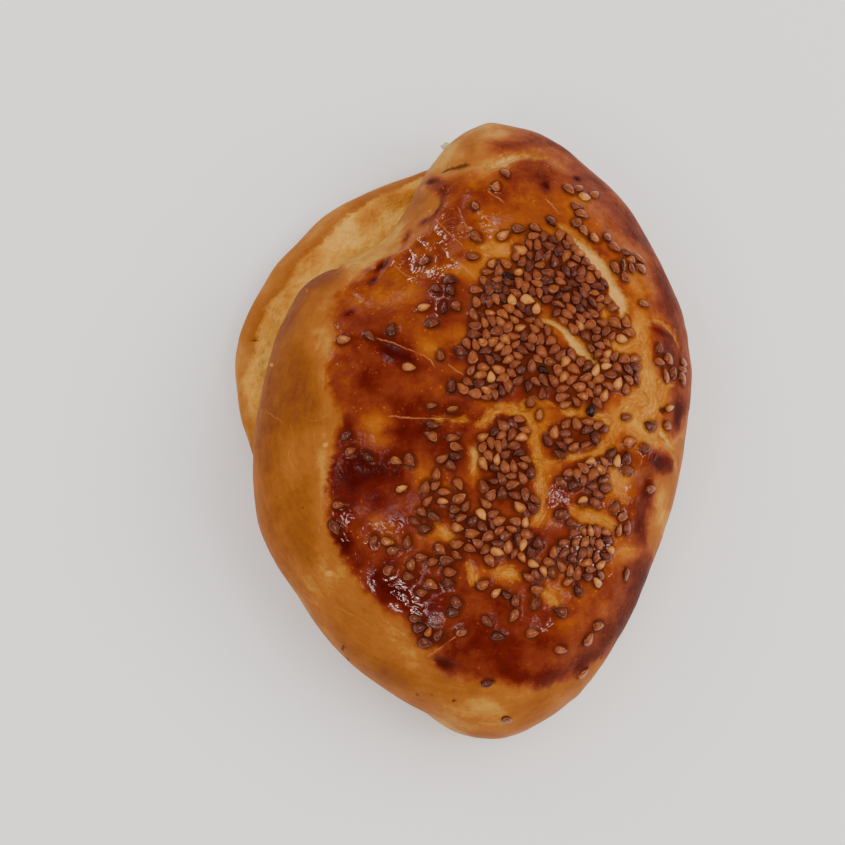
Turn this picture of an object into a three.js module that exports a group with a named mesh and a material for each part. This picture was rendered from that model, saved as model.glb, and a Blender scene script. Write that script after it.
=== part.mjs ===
// A pogaca: a soft savoury bun baked from one disc of dough that is folded over on itself.
// The upper flap is a broad dome. The lower flap shows as a lip along the mouth of the fold,
// at the -X and +Y sides, and the mouth runs on as a shut seam under the flap's -Y end.
// The folded +X side has no seam. Millimetres, +Z up, standing on z = 0 at its flat base.
import * as THREE from "three";
import { ParametricGeometry } from "three/addons/geometries/ParametricGeometry.js";
import { mergeVertices } from "three/addons/utils/BufferGeometryUtils.js";

// Overall sizes
const domeHeight = 40;
const domeFullness = 2.35; // superellipse power of the dome: 2 is an ellipse, more is boxier
const seamTurn = 80; // degrees that the flap's edge turns under before it meets the lip
const lipFullness = 2.6; // superellipse power of the lip's rounded rim
const baseInset = { thickWall: 7.5, thinLip: 4.5 }; // how far the flat base lies inside the rim

// The flap's outline seen from above: degrees anticlockwise from +X, and radius
const flapOutline = [
  [0, 47.8],
  [20, 51.9],
  [40, 57.4],
  [60, 64.1],
  [74, 68.9],
  [82, 69.9],
  [87, 68.8],
  [91, 66.2],
  [96, 60.4],
  [103, 51.4],
  [112, 45.6],
  [122, 44.4],
  [135, 45.7],
  [150, 44.9],
  [168, 43.6],
  [185, 44.3],
  [205, 47.1],
  [225, 49.5],
  [245, 54.1],
  [262, 58.9],
  [273, 63.8],
  [285, 63],
  [300, 57.2],
  [318, 50.2],
  [338, 47.2],
];

// How far the lip reaches past the flap's outline. Below 0 it is tucked under the flap.
const lipReach = [
  [0, -1.4],
  [60, -1.4],
  [78, -1],
  [88, -0.6],
  [93, 0.6],
  [98, 5.4],
  [103, 10.6],
  [109, 14.2],
  [115, 15.9],
  [122, 15.1],
  [131, 12.5],
  [141, 10.6],
  [159, 8.2],
  [170, 5],
  [181, 1.5],
  [190, -1],
  [205, -2.6],
  [250, -2.6],
  [268, -0.6],
  [285, -1],
  [305, -1.4],
];

// How deep the mouth or seam cuts in under the flap's edge
const mouthDepth = [
  [0, 0],
  [66, 0],
  [84, 1.6],
  [100, 3],
  [122, 3.4],
  [150, 3.8],
  [185, 4],
  [215, 4.4],
  [250, 3],
  [270, 1],
  [288, 0],
];

// Heights of the flap's widest line, of the seam, and of the lip's widest line
const edgeHeight = [
  [0, 15.5],
  [60, 15],
  [90, 15.5],
  [112, 15],
  [140, 18],
  [180, 17.5],
  [220, 15.5],
  [270, 13.5],
  [320, 14.5],
];
const seamHeight = [
  [0, 10],
  [90, 10.5],
  [115, 11],
  [150, 10.6],
  [185, 9.6],
  [230, 8],
  [270, 8],
  [320, 9.5],
];
const lipHeight = 5.6;

// The rolled rim of the lip, and the bare trough behind it
const lipRoll = { height: 1.1, inFromRim: 4.5, width: 2.6 };

// Broad swells and dents of the dome, seen from above: middle, reach and height
const swells = [
  { x: 8, y: 14, reach: 15, rise: 1.2 },
  { x: 6, y: -16, reach: 15, rise: 1.3 },
  { x: 28, y: -12, reach: 12, rise: 0.9 },
  { x: 20, y: 40, reach: 12, rise: 0.8 },
  { x: -10, y: 3, reach: 9, rise: -1.2 },
  { x: 14, y: 0, reach: 9, rise: -0.9 },
  { x: -20, y: 14, reach: 9, rise: -1 },
  { x: -21, y: -12, reach: 10, rise: -0.9 },
  { x: -15, y: 32, reach: 8, rise: -0.8 },
  { x: 2, y: -42, reach: 10, rise: 0.6 },
];

// Faces: around the bun, and up each stretch of its section
const aroundCount = 92;
const stretchRows = { dome: 14, edge: 5, lip: 9, foot: 4, base: 1 };

const radians = THREE.MathUtils.degToRad;

// A value at an angle, on a smooth closed curve through [degrees, value] stations
function around(stations, degrees) {
  const turn = THREE.MathUtils.euclideanModulo(degrees, 360);
  const count = stations.length;
  const station = (i) => {
    const wraps = Math.floor(i / count);
    const [angle, value] = stations[i - wraps * count];
    return [angle + 360 * wraps, value];
  };
  let i = count - 1;
  while (i > 0 && stations[i][0] > turn) i--;
  const [before, start, end, after] = [i - 1, i, i + 1, i + 2].map(station);
  const span = end[0] - start[0];
  const t = (turn - start[0]) / span;
  const slopeIn = ((end[1] - before[1]) / (end[0] - before[0])) * span;
  const slopeOut = ((after[1] - start[1]) / (after[0] - start[0])) * span;
  return (
    start[1] * (1 + 2 * t) * (1 - t) ** 2 +
    slopeIn * t * (1 - t) ** 2 +
    end[1] * t * t * (3 - 2 * t) +
    slopeOut * t * t * (t - 1)
  );
}

// Every size of the section at one angle
function sectionSizes(degrees) {
  const flap = around(flapOutline, degrees);
  const reach = around(lipReach, degrees);
  const mouth = Math.max(0, around(mouthDepth, degrees));
  const shown = THREE.MathUtils.smoothstep(reach, 0, 8);
  return {
    flap,
    seam: flap - mouth,
    lip: flap + reach,
    parted: THREE.MathUtils.smoothstep(mouth, 0, 1.5),
    shown,
    base: flap + reach - THREE.MathUtils.lerp(baseInset.thickWall, baseInset.thinLip, shown),
    edgeZ: around(edgeHeight, degrees),
    seamZ: around(seamHeight, degrees),
  };
}

function domePoint(s, t) {
  const turn = (t * Math.PI) / 2;
  return {
    r: s.flap * Math.sin(turn) ** (2 / domeFullness),
    z: s.edgeZ + (domeHeight - s.edgeZ) * Math.max(0, Math.cos(turn)) ** (2 / domeFullness),
  };
}

function edgePoint(s, t) {
  const end = radians(seamTurn);
  const turn = t * end;
  return {
    r: THREE.MathUtils.lerp(s.flap, s.seam, (1 - Math.cos(turn)) / (1 - Math.cos(end))),
    z: THREE.MathUtils.lerp(s.edgeZ, s.seamZ, Math.sin(turn) / Math.sin(end)),
  };
}

// A parted lip starts level at the seam. Where there is no seam it runs straight on down the side.
function lipPoint(s, t) {
  const turn = (t * Math.PI) / 2;
  const level = s.seam + (s.lip - s.seam) * Math.sin(turn) ** (2 / lipFullness);
  const rounded = Math.max(0, Math.cos(turn)) ** (2 / lipFullness);
  const sloped = s.seam + (s.lip - s.seam) * THREE.MathUtils.smoothstep(t, 0, 1);
  const r = THREE.MathUtils.lerp(sloped, level, s.parted);
  const drop = THREE.MathUtils.lerp(1 - t, rounded, s.parted);
  const fromRoll = (s.lip - lipRoll.inFromRim - r) / lipRoll.width;
  const roll = s.shown * lipRoll.height * Math.exp(-fromRoll * fromRoll);
  return { r, z: THREE.MathUtils.lerp(lipHeight, s.seamZ, drop) + roll };
}

function footPoint(s, t) {
  const turn = (t * Math.PI) / 2;
  return {
    r: s.lip - (s.lip - s.base) * (1 - Math.cos(turn)),
    z: lipHeight * (1 - Math.sin(turn)),
  };
}

function basePoint(s, t) {
  return { r: s.base * (1 - t), z: 0 };
}

const stretches = [
  [stretchRows.dome, domePoint],
  [stretchRows.edge, edgePoint],
  [stretchRows.lip, lipPoint],
  [stretchRows.foot, footPoint],
  [stretchRows.base, basePoint],
];
const rowCount = stretches.reduce((sum, [rows]) => sum + rows, 0);

// The section's point at a row, counted from the top of the dome to the middle of the base
function sectionPoint(sizes, row) {
  let left = row;
  for (const [rows, point] of stretches) {
    if (left <= rows) return point(sizes, left / rows);
    left -= rows;
  }
  return basePoint(sizes, 1);
}

// The swells lift the dome's top and fade out above its edge
function swellAt(x, y, z) {
  const fade = THREE.MathUtils.smoothstep(z, 20, 32);
  let rise = 0;
  for (const s of swells) {
    const far = Math.hypot(x - s.x, y - s.y) / s.reach;
    rise += s.rise * Math.exp(-far * far);
  }
  return rise * fade;
}

function bunSurface(u, v, target) {
  const angle = u * 2 * Math.PI;
  const sizes = sectionSizes(THREE.MathUtils.radToDeg(angle));
  const row = THREE.MathUtils.clamp(1 - v, 0, 1) * rowCount; // v runs up from the base
  const { r, z } = sectionPoint(sizes, row);
  const x = r * Math.cos(angle);
  const y = r * Math.sin(angle);
  target.set(x, y, z + swellAt(x, y, z));
}

function foldedBun() {
  const surface = new ParametricGeometry(bunSurface, aroundCount, rowCount);
  surface.deleteAttribute("normal");
  surface.deleteAttribute("uv");
  const geometry = mergeVertices(surface, 1e-3);
  geometry.computeBoundingBox();
  const middle = geometry.boundingBox.getCenter(new THREE.Vector3());
  geometry.translate(-middle.x, -middle.y, 0);
  geometry.computeVertexNormals();
  const crust = new THREE.MeshStandardMaterial({ color: 0xb0642a, roughness: 0.45, metalness: 0 });
  const mesh = new THREE.Mesh(geometry, crust);
  mesh.name = "folded_bun";
  return mesh;
}

const pogaca = new THREE.Group();
pogaca.add(foldedBun());

export default pogaca;
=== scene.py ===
# A pogaca: a bun of soft dough folded over on itself, brushed with egg and strewn with sesame.
# Shapes are worked out in millimetres in the frame's own axes and turned into metres as meshes are made.
import math

import bpy
import numpy as np
from mathutils import Matrix, Vector
from mathutils.bvhtree import BVHTree


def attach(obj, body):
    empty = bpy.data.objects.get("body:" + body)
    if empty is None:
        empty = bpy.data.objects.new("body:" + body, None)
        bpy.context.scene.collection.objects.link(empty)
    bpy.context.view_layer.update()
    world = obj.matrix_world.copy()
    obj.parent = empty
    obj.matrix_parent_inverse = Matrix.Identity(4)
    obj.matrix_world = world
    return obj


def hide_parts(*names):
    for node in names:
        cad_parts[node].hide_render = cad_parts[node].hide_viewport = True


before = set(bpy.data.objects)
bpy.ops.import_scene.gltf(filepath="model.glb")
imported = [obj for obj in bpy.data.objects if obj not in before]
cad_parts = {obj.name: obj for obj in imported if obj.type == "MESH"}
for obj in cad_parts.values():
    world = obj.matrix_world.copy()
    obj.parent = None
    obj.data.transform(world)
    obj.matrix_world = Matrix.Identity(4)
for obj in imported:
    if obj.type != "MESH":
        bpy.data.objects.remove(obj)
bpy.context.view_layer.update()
mm = 0.001
pathStep = 0.8    # how finely cracks and outlines are followed
farOff = 6.0      # the greatest distance from them that matters


def ramp(value, low, high):
    t = np.clip((value - low) / (high - low), 0, 1)
    return t * t * (3 - 2 * t)


def mix(a, b, share):
    return a + (b - a) * share


# A smooth closed curve through [degrees, value] stations, read at any angle
def around(stations, degrees):
    angle, value = np.array(stations, float).T
    angle = np.concatenate([angle - 360, angle, angle + 360])
    value = np.tile(value, 3)
    turn = np.mod(degrees, 360)
    i = np.searchsorted(angle, turn, side="right") - 1
    span = angle[i + 1] - angle[i]
    t = (turn - angle[i]) / span
    slopeIn = (value[i + 1] - value[i - 1]) / (angle[i + 1] - angle[i - 1]) * span
    slopeOut = (value[i + 2] - value[i]) / (angle[i + 2] - angle[i]) * span
    start = value[i] * (1 + 2 * t) * (1 - t) ** 2 + slopeIn * t * (1 - t) ** 2
    return start + value[i + 1] * t * t * (3 - 2 * t) + slopeOut * t * t * (t - 1)


# Smooth noise from -1 to 1 with lumps about size apart
def lumps(points, size, seed):
    side, offset = 32, 1000.5   # the offset keeps every place above 0
    table = np.random.default_rng(seed).uniform(-1, 1, side ** 3)
    place = points / size + offset
    cell = np.floor(place).astype(int)
    part = place - cell
    part = part * part * (3 - 2 * part)
    total = np.zeros(len(points))
    for corner in range(8):
        step = np.array([corner & 1, corner >> 1 & 1, corner >> 2 & 1])
        spot = (cell + step) % side @ np.array([1, side, side * side])
        total += table[spot] * np.prod(np.where(step, part, 1 - part), axis=1)
    return total


# Several layers of lumps, each with its size, height and seed
def layeredLumps(points, layers):
    return sum(height * lumps(points, size, seed) for size, height, seed in layers)


# A soft patch: 1 in the middle of a turned ellipse, fading to 0 outside it
def patch(x, y, spot):
    centreX, centreY, long, wide, degrees, strength = spot
    c, s = math.cos(math.radians(degrees)), math.sin(math.radians(degrees))
    dx, dy = x - centreX, y - centreY
    far = ((dx * c + dy * s) / long) ** 2 + ((dy * c - dx * s) / wide) ** 2
    return strength * np.exp(-far)


# Evenly spaced points on a smooth curve through given (x, y, half width) points
def smoothPath(points, step):
    p = np.array(points, float)
    p = np.vstack([2 * p[0] - p[1], p, 2 * p[-1] - p[-2]])
    made = []
    for i in range(1, len(p) - 2):
        count = max(2, int(np.hypot(*(p[i + 1] - p[i])[:2]) / step) + 1)
        t = np.linspace(0, 1, count, endpoint=False)[:, None]
        before, start, end, after = p[i - 1], p[i], p[i + 1], p[i + 2]
        bend = 2 * before - 5 * start + 4 * end - after
        twist = 3 * start - before - 3 * end + after
        made.append(start + 0.5 * t * (end - before + t * (bend + t * twist)))
    return np.vstack(made + [p[-2:-1]])


# How far along one straight step of a path each point lies, its distance from the step,
# and the same with a sign for its side, times the step's length
def besideStep(x, y, start, end):
    way = end[:2] - start[:2]
    dx, dy = x - start[0], y - start[1]
    t = np.clip((dx * way[0] + dy * way[1]) / (way @ way), 0, 1)
    return t, np.hypot(dx - t * way[0], dy - t * way[1]), dx * way[1] - dy * way[0]


# Distance from each point to the nearest edge of any path: below 0 inside it
def gapToPaths(x, y, paths, most=farOff):
    gap = np.full(len(x), float(most))
    for points in paths:
        path = smoothPath(points, pathStep)
        margin = most + path[:, 2].max()
        near = (x > path[:, 0].min() - margin) & (x < path[:, 0].max() + margin)
        near &= (y > path[:, 1].min() - margin) & (y < path[:, 1].max() + margin)
        near = np.flatnonzero(near)
        for start, end in zip(path[:-1], path[1:]):
            t, far = besideStep(x[near], y[near], start, end)[:2]
            gap[near] = np.minimum(gap[near], far - mix(start[2], end[2], t))
    return gap


# Distance from each point to the nearest of some lines, the same with a sign for its side,
# and how far along the line that is
def sideOfLines(x, y, lines, reach=3.0):
    gap, side, run = np.full(len(x), reach), np.zeros(len(x)), np.zeros(len(x))
    travelled = 0.0
    for points in lines:
        path = smoothPath([(*point[:2], 0.0) for point in points], pathStep)
        for start, end in zip(path[:-1], path[1:]):
            near = np.flatnonzero((abs(x - start[0]) < reach + 1) & (abs(y - start[1]) < reach + 1))
            t, far, across = besideStep(x[near], y[near], start, end)
            long = np.hypot(*(end - start)[:2])
            closer = far < gap[near]
            gap[near[closer]] = far[closer]
            side[near[closer]] = (across / long)[closer]
            run[near[closer]] = (travelled + t * long)[closer]
            travelled += long
    return gap, side, run


# The bun's form, with the same sizes as the CAD solid
bunForm = {
    "domeHeight": 40.0,
    "domeFullness": 2.35,  # superellipse power of the dome: 2 is an ellipse, more is boxier
    "seamTurn": 80.0,      # degrees that the flap's edge turns under before it meets the lip
    "lipFullness": 2.6,
    "lipHeight": 5.6,
    "thickWallInset": 7.5,
    "thinLipInset": 4.5,
    "roll": {"height": 1.1, "inFromRim": 4.5, "width": 2.6},
    "flapOutline": [  # degrees anticlockwise from +X, and radius
        (0, 47.8), (20, 51.9), (40, 57.4), (60, 64.1), (74, 68.9), (82, 69.9), (87, 68.8), (91, 66.2),
        (96, 60.4), (103, 51.4), (112, 45.6), (122, 44.4), (135, 45.7), (150, 44.9), (168, 43.6),
        (185, 44.3), (205, 47.1), (225, 49.5), (245, 54.1), (262, 58.9), (273, 63.8), (285, 63),
        (300, 57.2), (318, 50.2), (338, 47.2),
    ],
    "lipReach": [  # how far the lip reaches past the flap, below 0 tucked under it
        (0, -1.4), (60, -1.4), (78, -1), (88, -0.6), (93, 0.6), (98, 5.4), (103, 10.6), (109, 14.2),
        (115, 15.9), (122, 15.1), (131, 12.5), (141, 10.6), (159, 8.2), (170, 5), (181, 1.5), (190, -1),
        (205, -2.6), (250, -2.6), (268, -0.6), (285, -1), (305, -1.4),
    ],
    "mouthDepth": [
        (0, 0), (66, 0), (84, 1.6), (100, 3), (122, 3.4), (150, 3.8), (185, 4), (215, 4.4), (250, 3),
        (270, 1), (288, 0),
    ],
    "edgeHeight": [
        (0, 15.5), (60, 15), (90, 15.5), (112, 15), (140, 18), (180, 17.5), (220, 15.5), (270, 13.5),
        (320, 14.5),
    ],
    "seamHeight": [
        (0, 10), (90, 10.5), (115, 11), (150, 10.6), (185, 9.6), (230, 8), (270, 8), (320, 9.5),
    ],
    "swells": [  # x, y, reach and rise of broad swells and dents
        (8, 14, 15, 1.2), (6, -16, 15, 1.3), (28, -12, 12, 0.9), (20, 40, 12, 0.8), (-10, 3, 9, -1.2),
        (14, 0, 9, -0.9), (-20, 14, 9, -1), (-21, -12, 10, -0.9), (-15, 32, 8, -0.8), (2, -42, 10, 0.6),
    ],
    "swellFade": (20, 32),  # heights between which the swells come in
    "evenDome": {"flap": 54.0, "edgeZ": 15.5},   # the dome section that spaces the rings
    "rings": 150,          # rings of faces from the top of the dome to the foot
    "underRings": 30,      # coarser rings of the flat underside
    "underShare": 0.975,   # how far out those rings reach, as a share of the base
    "underAlong": 90,      # the underside's place along the section, for its marks
    "ringShare": {"dome": 1.0, "edge": 0.5, "shutLip": 0.5, "openLip": 1.0, "foot": 0.4},
}


def sectionSizes(degrees):
    flap = around(bunForm["flapOutline"], degrees)
    reach = around(bunForm["lipReach"], degrees)
    mouth = np.maximum(0, around(bunForm["mouthDepth"], degrees))
    shown = ramp(reach, 0, 8)
    return {
        "flap": flap,
        "seam": flap - mouth,
        "lip": flap + reach,
        "parted": ramp(mouth, 0, 1.5),
        "shown": shown,
        "base": flap + reach - mix(bunForm["thickWallInset"], bunForm["thinLipInset"], shown),
        "edgeZ": around(bunForm["edgeHeight"], degrees),
        "seamZ": around(bunForm["seamHeight"], degrees),
    }


def domePoint(s, t):
    turn = t * math.pi / 2
    power = 2 / bunForm["domeFullness"]
    fall = np.maximum(0, np.cos(turn)) ** power
    return s["flap"] * np.sin(turn) ** power, s["edgeZ"] + (bunForm["domeHeight"] - s["edgeZ"]) * fall


def edgePoint(s, t):
    end = math.radians(bunForm["seamTurn"])
    turn = t * end
    r = mix(s["flap"], s["seam"], (1 - np.cos(turn)) / (1 - math.cos(end)))
    return r, mix(s["edgeZ"], s["seamZ"], np.sin(turn) / math.sin(end))


def lipPoint(s, t):
    turn = t * math.pi / 2
    power = 2 / bunForm["lipFullness"]
    level = mix(s["seam"], s["lip"], np.sin(turn) ** power)
    r = mix(mix(s["seam"], s["lip"], ramp(t, 0, 1)), level, s["parted"])
    drop = mix(1 - t, np.maximum(0, np.cos(turn)) ** power, s["parted"])
    roll = bunForm["roll"]
    bulge = s["shown"] * roll["height"] * np.exp(-((s["lip"] - roll["inFromRim"] - r) / roll["width"]) ** 2)
    return r, mix(bunForm["lipHeight"], s["seamZ"], drop) + bulge


def footPoint(s, t):
    turn = t * math.pi / 2
    r = s["lip"] - (s["lip"] - s["base"]) * (1 - np.cos(turn))
    return r, bunForm["lipHeight"] * (1 - np.sin(turn))


# Length of a stretch of the section at each angle
def stretchLength(point, s):
    r, z = zip(*(point(s, t + 0 * s["flap"]) for t in np.linspace(0, 1, 13)))
    return np.hypot(np.diff(r, axis=0), np.diff(z, axis=0)).sum(axis=0)


# The dome's own measure that spaces its rings evenly
def evenDome(share):
    t = np.linspace(0, 1, 400)
    r, z = domePoint(bunForm["evenDome"], t)
    run = np.concatenate([[0], np.cumsum(np.hypot(np.diff(r), np.diff(z)))])
    return np.interp(share, run / run[-1], t)


# Ring and angle of each vertex of a square grid whose squares are pulled round into rings
def roundGrid(rings):
    steps = np.arange(-rings, rings + 1)
    a, b = (side.ravel().astype(float) for side in np.meshgrid(steps, steps, indexing="ij"))
    ring = np.maximum(abs(a), abs(b))
    safe = np.maximum(ring, 1)
    sideways = np.where(a > 0, b / safe, 4 - b / safe)
    upright = np.where(b > 0, 2 - a / safe, 6 + a / safe)
    angle = np.mod(np.where(abs(a) >= abs(b), sideways, upright) * 45, 360)
    width = 2 * rings + 1
    corner = (np.arange(width - 1)[:, None] * width + np.arange(width - 1)).ravel()
    faces = np.stack([corner, corner + width, corner + width + 1, corner + 1], axis=1)
    edge = np.flatnonzero(ring == rings)
    return ring, angle, faces, edge[np.argsort(angle[edge])]


def makeBunGrid():
    rings, underRings = bunForm["rings"], bunForm["underRings"]
    ring, degrees, faces, edge = roundGrid(rings)
    s = sectionSizes(degrees)
    share = bunForm["ringShare"]
    points = [domePoint, edgePoint, lipPoint, footPoint]
    lipShare = mix(share["shutLip"], share["openLip"], s["shown"])
    weights = [share["dome"], share["edge"], lipShare, share["foot"]]
    lengths = [stretchLength(point, s) for point in points]
    spans = np.array([length * weight for length, weight in zip(lengths, weights)])
    ends = np.cumsum(spans, axis=0)
    place = ring / rings * ends[-1]
    r, z, along = np.zeros_like(place), np.zeros_like(place), np.zeros_like(place)
    stretch = np.zeros(len(place), int)
    for i, point in enumerate(points):
        start = ends[i] - spans[i]
        inside = (place >= start) if i else np.ones(len(place), bool)
        t = np.clip((place - start) / spans[i], 0, 1)
        newR, newZ = point(s, evenDome(t) if i == 0 else t)
        r, z = np.where(inside, newR, r), np.where(inside, newZ, z)
        along = np.where(inside, sum(lengths[:i]) + t * lengths[i], along)
        stretch = np.where(inside, i, stretch)
    turn = np.radians(degrees)
    x, y = r * np.cos(turn), r * np.sin(turn)
    middle = np.array([x.max() + x.min(), y.max() + y.min()]) / 2
    rise = sum(patch(x, y, (sx, sy, reach, reach, 0, height)) for sx, sy, reach, height in bunForm["swells"])
    z = z + rise * ramp(z, *bunForm["swellFade"])
    top = np.stack([x - middle[0], y - middle[1], z], axis=1)

    # The flat underside: a coarser grid, joined to the foot by a band of wider faces
    underRing, underDegrees, underFaces, underEdge = roundGrid(underRings)
    baseR = sectionSizes(underDegrees)["base"] * underRing / underRings * bunForm["underShare"]
    turn = np.radians(underDegrees)
    under = np.stack([baseR * np.cos(turn) - middle[0], baseR * np.sin(turn) - middle[1], 0 * turn], axis=1)
    first = len(top)
    allFaces = [list(face) for face in faces] + [list(face[::-1] + first) for face in underFaces]
    stride = len(edge) // len(underEdge)
    for i in range(len(underEdge)):
        outer = [edge[(i * stride + k) % len(edge)] for k in range(stride + 1)]
        inner = [underEdge[(i + 1) % len(underEdge)] + first, underEdge[i] + first]
        allFaces.append((outer + inner)[::-1])
    fields = {
        "degrees": np.concatenate([degrees, underDegrees]),
        "along": np.concatenate([along, bunForm["underAlong"] + 0 * underRing]),
        "stretch": np.concatenate([stretch, np.full(len(under), 4)]),
        "domeLength": np.concatenate([lengths[0], 0 * underRing]),
        "sizes": {key: np.concatenate([value, 0 * underRing]) for key, value in s.items()},
        "radius": np.concatenate([r, baseR]),
    }
    return np.vstack([top, under]), allFaces, faces, fields


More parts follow.
